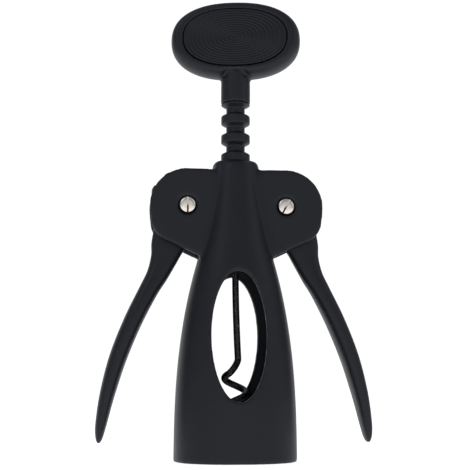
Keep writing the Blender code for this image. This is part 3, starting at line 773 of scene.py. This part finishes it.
def black_paint():
    """Satin paint: faint orange peel and grain, uneven sheen, and paler along edges, partly as thinner
    paint and partly as a painted edge highlight.
    """
    colour = bpy.context.scene.corkscrew_finish.paint
    material, shader, here = finish("satin_black_paint", {"Specular IOR Level": 0.27})
    peel = here.noise(0.0016, 3.0, 0.55)
    grain = here.noise(0.00032, 2.0, 0.6)
    cloud = here.noise(0.017, 3.0, 0.6)
    # Paler along edges by pointiness: partly thinner paint, partly a painted edge highlight; the pale
    # specks come from the grain.
    edge = ((here.node("NewGeometry", output="Pointiness") - 0.5) * 9.0).clamped()
    speck = ((grain - 0.66) * 7.0).clamped()
    edge_highlight_and_specks = (edge * (0.35 + 0.65 * cloud) + 0.25 * speck).clamped()
    base = edge_highlight_and_specks.mixed(cloud.mixed(shade(colour, 0.82), shade(colour, 1.2)), shade(colour, 2.4))
    return connect(material, shader, Base_Color=base,
                   Roughness=(0.34 + 0.13 * cloud + 0.07 * grain + 0.05 * edge).clamped(),
                   Normal=(0.7 * peel + 0.3 * grain).bumped(0.00011, 0.6))


def black_plastic():
    """Moulded plastic: fine spark-eroded grain and a slightly uneven sheen."""
    colour = bpy.context.scene.corkscrew_finish.plastic
    material, shader, here = finish("moulded_black_plastic", {"Specular IOR Level": 0.25})
    grain = here.noise(0.00028, 3.0, 0.65)
    cloud = here.noise(0.011, 3.0, 0.55)
    speck = ((grain - 0.6) * 5.0).clamped()
    base = (0.6 * cloud + 0.4 * speck).mixed(shade(colour, 0.8), shade(colour, 1.5))
    return connect(material, shader, Base_Color=base,
                   Roughness=(0.40 + 0.10 * cloud + 0.09 * grain).clamped(),
                   Normal=grain.bumped(0.00006, 0.6))


def black_worm_coating():
    """Baked non-stick coating: a fine grain with paler specks and small shiny patches."""
    colour = bpy.context.scene.corkscrew_finish.coating
    material, shader, here = finish("baked_black_coating", {"Specular IOR Level": 0.45})
    grain = here.noise(0.00042, 4.0, 0.7)
    patch = here.noise(0.003, 3.0, 0.6)
    speck = ((here.noise(0.0007, 2.0, 0.6) - 0.58) * 9.0).clamped()
    return connect(material, shader, Base_Color=speck.mixed(shade(colour, 0.75), shade(colour, 30.0)),
                   Roughness=(0.27 + 0.22 * patch + 0.14 * grain).clamped(),
                   Normal=(0.75 * grain + 0.25 * patch).bumped(0.00012, 0.8))


def nickel():
    """Nickel plating over turned heads: fine rings round each pivot, a little haze, and painted shade
    in the slots, deeper in their lower half.
    """
    colour = bpy.context.scene.corkscrew_finish.nickel
    material, shader, here = finish("turned_nickel", {"Metallic": 1.0})
    across = abs(here.axis("X")) - float(PIVOTS["right"][0])
    up = here.axis("Z") - float(PIVOTS["right"][2])
    radius = (across * across + up * up) ** 0.5
    around = here.node("CombineXYZ", (), {"X": radius, "Y": 0.02 * here.axis("Y")})
    rings = around.noise(0.00007, 2.0, 0.6)
    haze = here.noise(0.0016, 3.0, 0.6)
    plating_tone = (0.5 * haze + 0.5 * rings).mixed(shade(colour, 0.84), shade(colour, 1.08))
    # Painted shade: below the heads' dome the slots are painted near black, more so in their lower
    # half.
    sunk = ((HEAD_FRONT - HEAD_SHOWN - abs(here.axis("Y"))) * 8000.0).clamped()
    slot_shade = sunk * (0.15 + 0.85 * (0.5 - up * 900.0).clamped())
    base = slot_shade.mixed(plating_tone, shade(colour, 0.05))
    return connect(material, shader, Base_Color=base,
                   Roughness=(0.16 + 0.12 * haze + 0.12 * rings).clamped(),
                   Normal=rings.bumped(0.000012, 0.6))


def steel():
    """Bare steel: dull, with fine scratches and darker patches of oil."""
    colour = bpy.context.scene.corkscrew_finish.steel
    material, shader, here = finish("bare_steel", {"Metallic": 1.0})
    stretched = here.node("Mapping", (), {"Vector": here, "Scale": (1.0, 1.0, 12.0)})
    scratch = stretched.noise(0.0004, 3.0, 0.6)
    oil = here.noise(0.002, 3.0, 0.6)
    base = (0.5 * oil + 0.5 * scratch).mixed(shade(colour, 0.55), shade(colour, 1.25))
    return connect(material, shader, Base_Color=base,
                   Roughness=(0.24 + 0.2 * oil + 0.12 * scratch).clamped(),
                   Normal=scratch.bumped(0.00002, 0.6))


def white_nylon():
    """White nylon: waxy, a little yellowed in patches, with faint moulding grain."""
    colour = bpy.context.scene.corkscrew_finish.nylon
    material, shader, here = finish("white_nylon_moulding", {})
    cloud = here.noise(0.004, 3.0, 0.6)
    grain = here.noise(0.0003, 2.0, 0.6)
    base = cloud.mixed(shade(colour, 1.0), shade((colour[0], colour[1] * 0.97, colour[2] * 0.9), 0.92))
    return connect(material, shader, Base_Color=base,
                   Roughness=(0.36 + 0.12 * cloud + 0.08 * grain).clamped(),
                   Normal=grain.bumped(0.00003, 0.6))


def once(make):
    """The finish that make gives, made the first time it is asked for."""
    made = []

    def get():
        if not made:
            made.append(make())
        return made[0]

    return get


FINISHES = {make.__name__: once(make) for make in
            (black_paint, black_plastic, black_worm_coating, nickel, steel, white_nylon)}


# ---------------------------------------------------------------- body

def body_half_sizes(z, body):
    """Half width and half depth of the body at heights z.

    Up the bell each is mouth - (mouth - throat) * (z / bell height) ^ power.  Up the column it is
    column + (throat - column) * (height left / column height) ^ power, with the power that carries
    the bell's slope on.  At the top a quarter circle is taken off.
    """
    top = body.bell_height + body.column_height
    left = np.clip(top - z, 0, None) / body.column_height
    over = np.clip(z - (top - body.shoulder_radius), 0, body.shoulder_radius)
    drawn_in = body.shoulder_radius - np.sqrt(np.clip(body.shoulder_radius ** 2 - over ** 2, 0, None))
    sizes = []
    for mouth, throat, power in ((body.mouth_half_width, body.throat_half_width, body.width_curve),
                                 (body.mouth_half_depth, body.throat_half_depth, body.depth_curve)):
        column = body.column_half_size
        slope = power * (mouth - throat) * body.column_height / (body.bell_height * (throat - column))
        bell = mouth - (mouth - throat) * (np.clip(z, 0, None) / body.bell_height) ** power
        sizes.append(np.where(z <= body.bell_height, bell, column + (throat - column) * left ** slope)
                     - drawn_in)
    return sizes


def body_rings(z, inset, body, sides=128):
    """Superellipse sections of the body at heights z, drawn in by the inset."""
    z = np.asarray(z, float)[:, None]
    half_width, half_depth = body_half_sizes(z, body)
    x, y = superellipse(half_width - inset, half_depth - inset, body.section_power, sides)
    return np.stack([x, y, z + 0 * x], axis=-1)


class CORKSCREW_OT_body(bpy.types.Operator):
    """Make the cast body: bell, column and ears, hollowed, windowed and slotted."""

    bl_idname = "corkscrew.body"
    bl_label = "Body"

    def execute(self, context):
        body, seat, pivot = (context.scene.corkscrew_body, context.scene.corkscrew_seat,
                             context.scene.corkscrew_pivot)
        top = body.bell_height + body.column_height
        shoulder = top - body.shoulder_radius
        z = np.concatenate([np.linspace(0, shoulder, 90)[:-1],
                            shoulder + body.shoulder_radius * np.sin(np.linspace(0, TAU / 4, 10))])
        ear_face = body.slot_half_width + body.ear_thickness
        centres, radii = [], []
        for side, sign in (("left", -1), ("right", 1)):
            x, _, height = PIVOTS[side]
            foot = float(body_half_sizes(np.array(body.ear_foot), body)[0]) - body.wall / 2
            centres += [(x, height), (x + sign * body.heel_out, height - body.heel_down),
                        (sign * foot, body.ear_foot)]
            radii += [body.ear_radius, body.heel_radius, 0.0]
        ears = round_discs(centres, radii, 240)
        ear_back = body.slot_half_width - EXTRA
        steps = [("UNION", surface("ears", slab(ears, sign * ear_face, sign * ear_back)))
                 for sign in (-1, 1)]
        roof = body.bell_height - body.roof_drop
        bush_top = roof + seat.bush_length + GAP
        bush = seat.bush_radius + GAP
        hollow_z = np.concatenate([[-body.wall], np.linspace(0, roof, 50)])
        hollow = capped(body_rings(hollow_z, body.wall, body))
        bore = turned([(0, top + body.wall), (seat.bore_radius, top + body.wall),
                       (seat.bore_radius, bush_top), (bush, bush_top), (bush, roof - body.wall),
                       (0, roof - body.wall)])
        x, height = superellipse(body.window_half_width, body.window_half_height, 2.0, 160)
        window = slab(np.stack([x, height + body.window_height], axis=-1),
                      -WINDOW_REACH, WINDOW_REACH)
        steps += [("DIFFERENCE", surface(name, points)) for name, points in
                  (("hollow", hollow), ("bore", bore), ("window", window))]
        recess = ear_face - pivot.recess_depth
        wide = pivot.head_radius + pivot.recess_clearance
        screw, sleeve = pivot.screw_radius + GAP, pivot.sleeve_radius + GAP
        for place in PIVOTS.values():
            slot = rod(body.slot_radius, -body.slot_half_width, body.slot_half_width, sides=120)
            holes = turned([(0, PIVOT_REACH), (wide, PIVOT_REACH), (wide, recess), (screw, recess),
                            (screw, 0), (sleeve, 0), (sleeve, -recess), (wide, -recess),
                            (wide, -PIVOT_REACH), (0, -PIVOT_REACH)])
            steps += [("DIFFERENCE", surface(name, upright(points, place))) for name, points in
                      (("gear_slot", slot), ("pivot_holes", holes))]
        mesh = joined_and_cut(surface("body", capped(body_rings(z, 0.0, body))), steps, body.skin)

        def creases(points, width=0.0022):
            """Weights near the corner between the ears' faces and the outside of the body."""
            half_width, half_depth = body_half_sizes(points[:, 2], body)
            power = body.section_power
            out = ((np.abs(points[:, 0]) / half_width) ** power
                   + (np.abs(points[:, 1]) / half_depth) ** power) ** (1 / power)
            return (0.9 * near(np.abs(points[:, 1]), ear_face, width)
                    * near(out * half_width, half_width, width)
                    * np.clip((points[:, 2] - body.ear_foot) / 0.004, 0, 1))

        mesh = relaxed(mesh, (22, creases), (2, 0.5))
        mesh = pressed(mesh, body.crease_depth, lambda points: creases(points, 0.0011))
        mesh = relaxed(mesh, (1, 0.5))
        settle("cast_body", mesh, "black_paint", "body", "body_casting")
        return {"FINISHED"}


class CORKSCREW_OT_seat_ring(bpy.types.Operator):
    """Make the moulded ring in the bell's mouth that stands on a bottle's lip."""

    bl_idname = "corkscrew.seat_ring"
    bl_label = "Seat ring"

    def execute(self, context):
        body, seat = context.scene.corkscrew_body, context.scene.corkscrew_seat
        sides = 128
        soft = 0.0004
        outer_z = [seat.bottom, seat.bottom + soft,
                   *np.linspace(seat.bottom + 0.001, seat.top - 0.001, 12), seat.top - soft, seat.top]
        inset = np.full(len(outer_z), body.wall + GAP)
        inset[[0, -1]] += soft
        outer = body_rings(outer_z, inset[:, None], body, sides)
        inner = turned(rounded([
            (seat.cork_radius + 2 * soft, seat.top), (seat.cork_radius, seat.top),
            (seat.cork_radius, seat.seat), (seat.cup_radius, seat.seat),
            (seat.cup_radius, seat.bottom + 0.0005), (seat.cup_radius + 0.0005, seat.bottom),
            (seat.cup_radius + 0.0006, seat.bottom)], soft), sides)
        points = np.concatenate([outer, inner, outer[:1]])
        settle("seat_insert", surface("seat_insert", points), "black_plastic", "body", "neck_seat_ring")
        return {"FINISHED"}


class CORKSCREW_OT_guide_bush(bpy.types.Operator):
    """Make the flanged nylon bush that guides the rack."""

    bl_idname = "corkscrew.guide_bush"
    bl_label = "Guide bush"

    def execute(self, context):
        body, seat = context.scene.corkscrew_body, context.scene.corkscrew_seat
        roof = body.bell_height - body.roof_drop
        top, foot, flange = roof + seat.bush_length, roof - GAP, seat.bush_radius + seat.flange_width
        profile = rounded_loop([
            (seat.bore_radius, top), (seat.bush_radius, top), (seat.bush_radius, foot), (flange, foot),
            (flange, foot - seat.flange_thickness),
            (seat.bore_radius, foot - seat.flange_thickness)], 0.0003)
        settle("nylon_bush", surface("nylon_bush", turned(profile, 96)), "white_nylon", "bush",
               "guide_bush")
        return {"FINISHED"}


# ---------------------------------------------------------------- rack, worm and handle

def grub_screw(radius, inner, outer, socket, sides=72):
    """Headless screw along Z: a chamfered rod with a cupped end and a hexagonal socket in the other.

    The socket's section is apothem / cos(angle from the nearest flat's middle).
    """
    chamfer = 0.25 * radius
    body = turned([(0, inner + 0.4 * chamfer), (radius - 1.6 * chamfer, inner),
                   (radius - chamfer, inner), (radius, inner + chamfer), (radius, outer - chamfer),
                   (radius - chamfer, outer)], sides)
    turn = angles(sides)
    hexagon = 0.5 * radius / np.cos((turn + TAU / 12) % (TAU / 6) - TAU / 12)
    rows = [(1.0, outer), (1.0, outer - socket), (0.0, outer - 1.15 * socket)]
    hole = np.stack([np.stack([share * hexagon * np.cos(turn), share * hexagon * np.sin(turn),
                               np.full(sides, z)], axis=-1) for share, z in rows])
    return np.concatenate([body, hole])


def to_the_back(points, height, turn=0.0):
    """Shape made along Z, laid over so that its top looks to the back, at a height."""
    laid = np.stack([points[..., 0], points[..., 2], -points[..., 1]], axis=-1)
    return spun(laid, turn, (0, 0, height))


class CORKSCREW_OT_rack(bpy.types.Operator):
    """Make the ringed rack, and the grub screw that holds the worm in it."""

    bl_idname = "corkscrew.rack"
    bl_label = "Rack"

    def execute(self, context):
        rack, worm, handle = (context.scene.corkscrew_rack, context.scene.corkscrew_worm,
                              context.scene.corkscrew_handle)
        groove = RACK_FOOT + rack.tail + rack.pitch * np.arange(rack.grooves)[::-1, None]
        mouth, floor = rack.groove_mouth / 2, rack.groove_floor / 2
        radii = [rack.ring_radius, rack.groove_radius, rack.groove_radius, rack.ring_radius]
        rings = np.stack([np.tile(radii, rack.grooves),
                          (groove + np.array([mouth, floor, -floor, -mouth])).ravel()], axis=-1)
        shoulder = rings[0, 1] + rack.land
        socket = worm.wire_radius + GAP
        profile = np.concatenate([
            rounded([(0, RACK_TOP), (rack.spigot_radius, RACK_TOP), (rack.spigot_radius, shoulder)],
                    0.0004),
            rounded([(rack.spigot_radius, shoulder), (rack.ring_radius, shoulder), *rings,
                     (rack.ring_radius, RACK_FOOT)], rack.softness)[1:-1],
            rounded([(rack.ring_radius, RACK_FOOT + 0.001), (rack.ring_radius, RACK_FOOT),
                     (socket, RACK_FOOT), (socket, WORM_TOP + GAP), (0, WORM_TOP + GAP)], 0.0005)])
        place = RACK_FOOT + rack.grub_height
        worm_hole = to_the_back(
            rod(rack.grub_radius + GAP, worm.wire_radius / 2, GRUB_REACH, sides=40), place)
        handle_hole = to_the_back(rod(handle.pin_radius + GAP, 0.0, GRUB_REACH, sides=40),
                                  COLLAR_FOOT + handle.pin_height, handle.turn)
        mesh = finished(joined_and_cut(surface("rack", turned(profile, 96)), [
            ("DIFFERENCE", surface("worm_hole", worm_hole)),
            ("DIFFERENCE", surface("handle_hole", handle_hole))]), 42.0)
        settle("ringed_rack", mesh, "black_paint", "spindle", "rack")
        screw = grub_screw(rack.grub_radius, worm.wire_radius + GAP, rack.ring_radius - GAP, 0.0014)
        settle("worm_set_screw", surface("worm_set_screw", to_the_back(screw, place)), "steel",
               "spindle", "worm_grub_screw")
        return {"FINISHED"}


class CORKSCREW_OT_worm(bpy.types.Operator):
    """Make the worm: a straight shank that swings out into an open helix with a point."""

    bl_idname = "corkscrew.worm"
    bl_label = "Worm"

    def execute(self, context):
        worm = context.scene.corkscrew_worm
        share = np.linspace(0, 1, 40)
        shank = np.stack([worm.lean * share ** 2, 0 * share,
                          RACK_FOOT + (worm.swing - RACK_FOOT) * share], axis=-1)
        top = worm.leftmost + worm.pitch * worm.start_angle / TAU
        z = np.linspace(top, worm.tip, 170)
        turn = TAU / 2 + TAU * (z - worm.leftmost) / worm.pitch
        helix = np.stack([worm.helix_radius * np.cos(turn), worm.helix_radius * np.sin(turn), z],
                         axis=-1)
        leave, arrive = shank[-1] - shank[-2], helix[1] - helix[0]
        leave *= worm.swing_pull / np.linalg.norm(leave)
        arrive *= worm.swing_pull / np.linalg.norm(arrive)
        t = np.linspace(0, 1, 26)[1:-1, None]
        swing = (shank[-1] * (2 * t ** 3 - 3 * t ** 2 + 1) + leave * (t ** 3 - 2 * t ** 2 + t)
                 + helix[0] * (3 * t ** 2 - 2 * t ** 3) + arrive * (t ** 3 - t ** 2))
        path = np.concatenate([[(0, 0, WORM_TOP)], [(0, 0, WORM_TOP - 0.0005)], shank, swing, helix])
        radius = worm.wire_radius * np.minimum(
            1.0, 0.12 + 0.88 * (path[:, 2] - worm.tip) / worm.point_length)
        settle("coated_worm", surface("coated_worm", tube(path, radius)), "black_worm_coating",
               "spindle", "worm")
        return {"FINISHED"}


def pad(handle, centre, side):
    """Oval pad with concentric grooves on the face that looks to the side, which is -1 or 1.

    Rows are superellipses scaled by a share.  The face sinks by depth * (1 - cos(turn * share)) / 2.
    """
    share = np.linspace(0, 1, 150)
    edge = 0.985
    waves = (1 - np.cos(TAU * handle.groove_count * share)) / 2
    sink = handle.groove_depth * waves * (share < edge)
    soft = 0.0004
    front = handle.half_thickness + handle.pad_proud
    back = front - handle.pad_thickness
    bend = np.linspace(0, TAU / 4, 6)[1:]
    inner = 1 - soft / handle.pad_half_height
    size = np.concatenate([share * inner, inner + (1 - inner) * np.sin(bend), [1.0, 0.0]])
    depth = np.concatenate([front - sink, front - soft * (1 - np.cos(bend)), [back, back]])
    x, z = superellipse(handle.pad_half_width * size[:, None], handle.pad_half_height * size[:, None],
                        handle.power, 192)
    return spun(np.stack([x, side * depth[:, None] + 0 * x, z], axis=-1), handle.turn, centre)


class CORKSCREW_OT_handle(bpy.types.Operator):
    """Make the oval handle with its collar, both grooved pads and the grub screw."""

    bl_idname = "corkscrew.handle"
    bl_label = "Handle"

    def execute(self, context):
        handle, rack = context.scene.corkscrew_handle, context.scene.corkscrew_rack
        centre = np.array([0, 0, HANDLE_TOP - handle.half_height])
        turn = np.linspace(-TAU / 4, TAU / 4, 48)[:, None]
        inset = handle.rim_round * (1 - np.cos(turn))
        x, z = superellipse(handle.half_width - inset, handle.half_height - inset, handle.power, 192)
        plate = spun(capped(np.stack([x, handle.half_thickness * np.sin(turn) + 0 * x, z], axis=-1)),
                     handle.turn, centre)
        pin_height = COLLAR_FOOT + handle.pin_height
        steps = [
            ("UNION", rod(handle.collar_radius, COLLAR_FOOT, centre[2], sides=96)),
            ("DIFFERENCE", rod(rack.spigot_radius + GAP, COLLAR_FOOT - 0.01, RACK_TOP + GAP)),
            ("DIFFERENCE", to_the_back(rod(handle.pin_radius + GAP, 0.0, GRUB_REACH, sides=40),
                                       pin_height, handle.turn))]
        depth = handle.pad_thickness - handle.pad_proud + GAP
        outline = np.stack(superellipse(handle.pad_half_width + GAP, handle.pad_half_height + GAP,
                                        handle.power, 192), axis=-1)
        for side in (-1, 1):
            recess = slab(outline, side * (handle.half_thickness - depth), side * 0.01)
            steps.append(("DIFFERENCE", spun(recess, handle.turn, centre)))
        mesh = joined_and_cut(surface("handle", plate), [
            (operation, surface("tool", points)) for operation, points in steps], 0.00042)

        def fillet(points, width=0.0018):
            """Weights near the corner between the collar's two sides and the plate."""
            local = spun(points, -handle.turn)
            sine = np.clip(local[:, 1] / handle.half_thickness, -1, 1)
            inset = handle.rim_round * (1 - np.sqrt(1 - sine ** 2))
            out = ((np.abs(local[:, 0]) / (handle.half_width - inset)) ** handle.power
                   + (np.abs(local[:, 2] - centre[2]) / (handle.half_height - inset))
                   ** handle.power) ** (1 / handle.power)
            weight = (near(np.hypot(points[:, 0], points[:, 1]), handle.collar_radius, width)
                      * near(out * handle.half_height, handle.half_height, width)
                      * (points[:, 2] < centre[2]))
            return 0.9 * weight * np.clip((0.0042 - np.abs(local[:, 1])) / 0.001, 0, 1)

        def arch(points, width=0.0006):
            """Weights along half ellipses where the collar's front and back run into the plate."""
            local, foot = spun(points, -handle.turn), centre[2] - handle.half_height
            out = np.hypot(local[:, 0] / handle.arch_half_width,
                           (points[:, 2] - foot) / handle.arch_height)
            return (near(out * handle.arch_height, handle.arch_height, width) * (points[:, 2] > foot)
                    * np.clip((np.abs(local[:, 1]) - 0.0018) / 0.002, 0, 1))

        mesh = pressed(relaxed(mesh, (22, fillet), (2, 0.4)), handle.arch_depth, arch)
        settle("oval_handle", mesh, "black_paint", "spindle", "handle")
        for name, side in (("front", -1), ("back", 1)):
            settle(name + "_pad", surface(name + "_pad", pad(handle, centre, side)), "black_plastic",
                   "spindle", "handle_pad_" + name)
        screw = grub_screw(handle.pin_radius, GAP, handle.collar_radius - GAP, 0.001)
        screw = surface("handle_set_screw", to_the_back(screw, pin_height, handle.turn))
        settle("handle_set_screw", screw, "steel", "spindle", "handle_grub_screw")
        return {"FINISHED"}


# ---------------------------------------------------------------- levers and pivots

# Outwards and down from the pivot, half width and half thickness, each from the gear to the tip
ARM = np.array([
    (5.5, -7.0, 7.2, 3.3), (6.3, -12.0, 7.5, 3.4), (7.6, -16.0, 6.8, 3.5),
    (9.0, -21.0, 5.4, 3.7), (11.5, -27.4, 4.35, 4.3), (15.1, -34.1, 3.85, 5.2),
    (20.95, -46.1, 3.7, 6.2), (26.5, -60.3, 3.5, 6.4), (30.35, -74.3, 3.0, 6.0),
    (32.6, -85.9, 2.25, 4.9), (33.26, -91.2, 1.44, 3.8), (33.46, -93.3, 0.5, 2.0),
]) / 1000


def toothed_outline(lever, rack):
    """Left sector's outline about its pivot, with angle 0 towards the rack.

    Each flank is an involute: its half angle is that of the pitch circle + tan p - p - (tan q - q),
    where cos q = base radius / radius.  The rest is the plain root circle.
    """
    pitch_radius = rack.pitch * lever.full_teeth / TAU
    pressure = math.atan2(rack.groove_mouth - rack.groove_floor,
                          2 * (rack.ring_radius - rack.groove_radius))
    radius = np.linspace(lever.root_radius, lever.tip_radius, 9)
    roll = np.arccos(np.minimum(1.0, pitch_radius * math.cos(pressure) / radius))
    half = (lever.tooth_thickness / (2 * pitch_radius) + math.tan(pressure) - pressure
            - (np.tan(roll) - roll))
    step = TAU / lever.full_teeth
    middles = math.asin(lever.mesh_lift / pitch_radius) + step * (np.arange(lever.teeth) - 1)
    turn = (middles[:, None] + np.concatenate([-half, half[::-1]])).ravel()
    radius = np.tile(np.concatenate([radius, radius[::-1]]), lever.teeth)
    plain = np.linspace(turn[-1], TAU + turn[0], 90)[1:-1]
    turn, radius = np.append(turn, plain), np.append(radius, np.full(len(plain), lever.root_radius))
    return np.stack([radius * np.cos(turn), radius * np.sin(turn)], axis=-1)


def arm(lever):
    """Superellipse sections square to the arm's centre line, for the left lever about its pivot."""
    out, up, half_width, half_thick = through(ARM, 10).T
    along = np.stack([-np.gradient(out), np.gradient(up)], axis=-1)
    along /= np.linalg.norm(along, axis=1, keepdims=True)
    u, v = superellipse(half_width[:, None], half_thick[:, None], lever.arm_power, 56)
    return capped(np.stack([-out[:, None] - along[:, 1:] * u, v, up[:, None] + along[:, :1] * u],
                           axis=-1))


class CORKSCREW_OT_levers(bpy.types.Operator):
    """Make both levers: a toothed sector that runs into a long arm."""

    bl_idname = "corkscrew.levers"
    bl_label = "Levers"

    def execute(self, context):
        lever, rack, pivot = (context.scene.corkscrew_lever, context.scene.corkscrew_rack,
                              context.scene.corkscrew_pivot)
        sector = slab(toothed_outline(lever, rack), -lever.half_thickness, lever.half_thickness)
        for side, sign in (("left", 1), ("right", -1)):
            place = PIVOTS[side]
            facing = np.array([sign, 1, 1])
            bore = upright(rod(pivot.sleeve_radius + GAP, -0.01, 0.01), place)
            mesh = joined_and_cut(surface("sector", sector * facing + place), [
                ("UNION", surface("arm", arm(lever) * facing + place)),
                ("DIFFERENCE", surface("bore", bore))], lever.skin)

            def neck(points, place=place):
                """Weights where the sector runs into the arm, below and outside the teeth."""
                out = np.hypot(points[:, 0] - place[0], points[:, 2] - place[2])
                return 0.9 * near(out, 0.0165, 0.0045) * (points[:, 2] < place[2] - 0.009) * (
                    np.abs(points[:, 0]) > abs(place[0]) + 0.001)

            mesh = relaxed(mesh, (10, neck), (2, 0.5))
            settle(side + "_wing_arm", mesh, "black_paint", side + "_wing", side + "_lever")
        return {"FINISHED"}


class CORKSCREW_OT_pivots(bpy.types.Operator):
    """Make the pivots' slotted screws, sleeve nuts and washers."""

    bl_idname = "corkscrew.pivots"
    bl_label = "Pivots"

    def execute(self, context):
        body, pivot, lever = (context.scene.corkscrew_body, context.scene.corkscrew_pivot,
                              context.scene.corkscrew_lever)
        slot_half = body.slot_half_width
        under = slot_half + body.ear_thickness - pivot.recess_depth + GAP
        face = under + pivot.head_height
        rim = face - pivot.head_dome
        head = pivot.head_radius
        dome = [(0, face), (0.6 * head, face - 0.3 * pivot.head_dome), (0.9 * head, rim),
                (head, rim - pivot.head_dome), (head, under)]
        screw = rounded([*dome, (pivot.screw_radius, under), (pivot.screw_radius, 2 * GAP - slot_half),
                         (0, 2 * GAP - slot_half)], 0.0003)
        sleeve = rounded([
            (0, -slot_half), (pivot.screw_radius + GAP, -slot_half),
            (pivot.screw_radius + GAP, slot_half - GAP), (pivot.sleeve_radius, slot_half - GAP),
            (pivot.sleeve_radius, -under), *((radius, -z) for radius, z in dome[::-1])], 0.0002)
        washer_low = lever.half_thickness + GAP
        for side, slot_turn in (("left", pivot.left_slot), ("right", pivot.right_slot)):
            place = PIVOTS[side]
            long = np.array([math.cos(slot_turn), math.sin(slot_turn)]) * 2 * head
            wide = np.array([-math.sin(slot_turn), math.cos(slot_turn)]) * pivot.slot_width / 2
            outline = np.array([long + wide, wide - long, -long - wide, long - wide]) + place[[0, 2]]
            for name, profile, front, node in (("screw", screw, -1, "_pivot_screw"),
                                               ("sleeve_nut", sleeve, 1, "_pivot_sleeve")):
                slot = slab(outline, front * (face - pivot.slot_depth), front * (face + 0.002))
                mesh = joined_and_cut(surface(name, upright(turned(profile, 72), place)),
                                      [("DIFFERENCE", surface("slot", slot))])
                settle(side + "_" + name, finished(mesh, 34.0), "nickel", "body", side + node)
            for name, low in (("front", washer_low), ("rear", -washer_low - pivot.washer_thickness)):
                high = low + pivot.washer_thickness
                ring = turned(rounded_loop([
                    (pivot.sleeve_radius + GAP, high), (pivot.washer_radius, high),
                    (pivot.washer_radius, low), (pivot.sleeve_radius + GAP, low)], 0.00015), 96)
                settle(f"{side}_{name}_shim", surface("shim", upright(ring, place)), "steel", "body",
                       f"{side}_{name}_washer")
        return {"FINISHED"}


# ---------------------------------------------------------------- stage

class CORKSCREW_OT_stage(bpy.types.Operator):
    """Make the pale floor, the soft light and the camera."""

    bl_idname = "corkscrew.stage"
    bl_label = "Stage"

    def execute(self, context):
        stage = context.scene.corkscrew_stage
        disc = turned([(0, 0), (0.25 * stage.floor_size, 0), (stage.floor_size, 0)], 96)
        floor = bpy.data.objects.new("floor", surface("floor", disc))
        context.scene.collection.objects.link(floor)
        material, shader, here = finish("pale_floor", {
            "Roughness": 0.7, "Specular IOR Level": 0.2, "Emission Strength": 0.75,
            "Emission Color": (1.0, 1.0, 1.0, 1.0)})
        tone = here.noise(0.4).mixed(shade(stage.floor_colour, 0.99), shade(stage.floor_colour, 1.0))
        floor.data.materials.append(connect(material, shader, Base_Color=tone))

        world = bpy.data.worlds.new("soft_room")
        context.scene.world = world
        world.use_nodes = True
        room = Wire(world.node_tree)
        toward = room.node("TexCoord", output="Generated")
        height, back = toward.axis("Z"), toward.axis("Y")
        overhead = ((height - 0.43) * 2.5).clamped()
        beside = (abs(toward.axis("X")) * 2.2 - 0.5).clamped()
        above_front = ((height * 2.6 - 0.1).clamped() + 0.9 * beside).clamped() * (
            (0.86 - back) * 4.0).clamped()
        dim = 1 - (1 - overhead) * (1 - above_front)
        tone = dim.mixed((1.0, 1.0, 1.0, 1.0), (0.30, 0.32, 0.37, 1.0))
        background = world.node_tree.nodes["Background"]
        background.inputs["Strength"].default_value = stage.sky
        world.node_tree.links.new(tone.socket, background.inputs["Color"])

        for name, place, aim, size, power in (
                ("key", (-0.55, -0.5, 0.75), (0, 0, 0.09), 0.5, stage.key_power),
                ("fill", (0.7, -0.35, 0.5), (0, 0, 0.08), 0.6, 0.5 * stage.key_power)):
            data = bpy.data.lights.new(name, "AREA")
            data.shape = "DISK"
            data.size = size
            data.energy = power
            light = bpy.data.objects.new(name, data)
            light.location = place
            light.rotation_euler = (Vector(aim) - Vector(place)).to_track_quat("-Z", "Y").to_euler()
            context.scene.collection.objects.link(light)

        data = bpy.data.cameras.new("camera")
        data.sensor_width = 36.0
        data.lens = stage.lens
        data.clip_start = 0.01
        camera = bpy.data.objects.new("camera", data)
        camera.location = stage.camera_place
        camera.rotation_euler = stage.camera_turn
        context.scene.collection.objects.link(camera)
        bpy.context.scene.camera = camera
        context.scene.view_settings.view_transform = "Standard"
        return {"FINISHED"}


class CORKSCREW_PT_panel(bpy.types.Panel):
    """Panel in the 3D view's sidebar that lists the pieces"""

    bl_idname = "CORKSCREW_PT_panel"
    bl_label = "Lever Corkscrew"
    bl_space_type = "VIEW_3D"
    bl_region_type = "UI"
    bl_category = "Corkscrew"

    def draw(self, context):
        for operator in OPERATORS:
            self.layout.operator(operator.bl_idname)
        for name, group in GROUPS.items():
            box = self.layout.box()
            box.label(text=group.__doc__)
            for field in group.__annotations__:
                box.prop(getattr(context.scene, name), field)


GROUPS = {
    "corkscrew_body": BodySizes, "corkscrew_seat": SeatSizes, "corkscrew_rack": RackSizes,
    "corkscrew_worm": WormSizes, "corkscrew_handle": HandleSizes, "corkscrew_lever": LeverSizes,
    "corkscrew_pivot": PivotSizes, "corkscrew_finish": FinishColours, "corkscrew_stage": StageSettings,
}
OPERATORS = (CORKSCREW_OT_body, CORKSCREW_OT_seat_ring, CORKSCREW_OT_guide_bush, CORKSCREW_OT_rack,
             CORKSCREW_OT_worm, CORKSCREW_OT_handle, CORKSCREW_OT_levers, CORKSCREW_OT_pivots,
             CORKSCREW_OT_stage)


def register():
    for cls in (*GROUPS.values(), *OPERATORS, CORKSCREW_PT_panel):
        bpy.utils.register_class(cls)
    for name, group in GROUPS.items():
        setattr(bpy.types.Scene, name, PointerProperty(type=group))


def unregister():
    for name in GROUPS:
        delattr(bpy.types.Scene, name)
    for cls in (CORKSCREW_PT_panel, *reversed(OPERATORS), *reversed(GROUPS.values())):
        bpy.utils.unregister_class(cls)


def main():
    register()
    bpy.ops.corkscrew.body()
    bpy.ops.corkscrew.seat_ring()
    bpy.ops.corkscrew.guide_bush()
    bpy.ops.corkscrew.rack()
    bpy.ops.corkscrew.worm()
    bpy.ops.corkscrew.handle()
    bpy.ops.corkscrew.levers()
    bpy.ops.corkscrew.pivots()
    bpy.ops.corkscrew.stage()


if __name__ == "__main__":
    main()
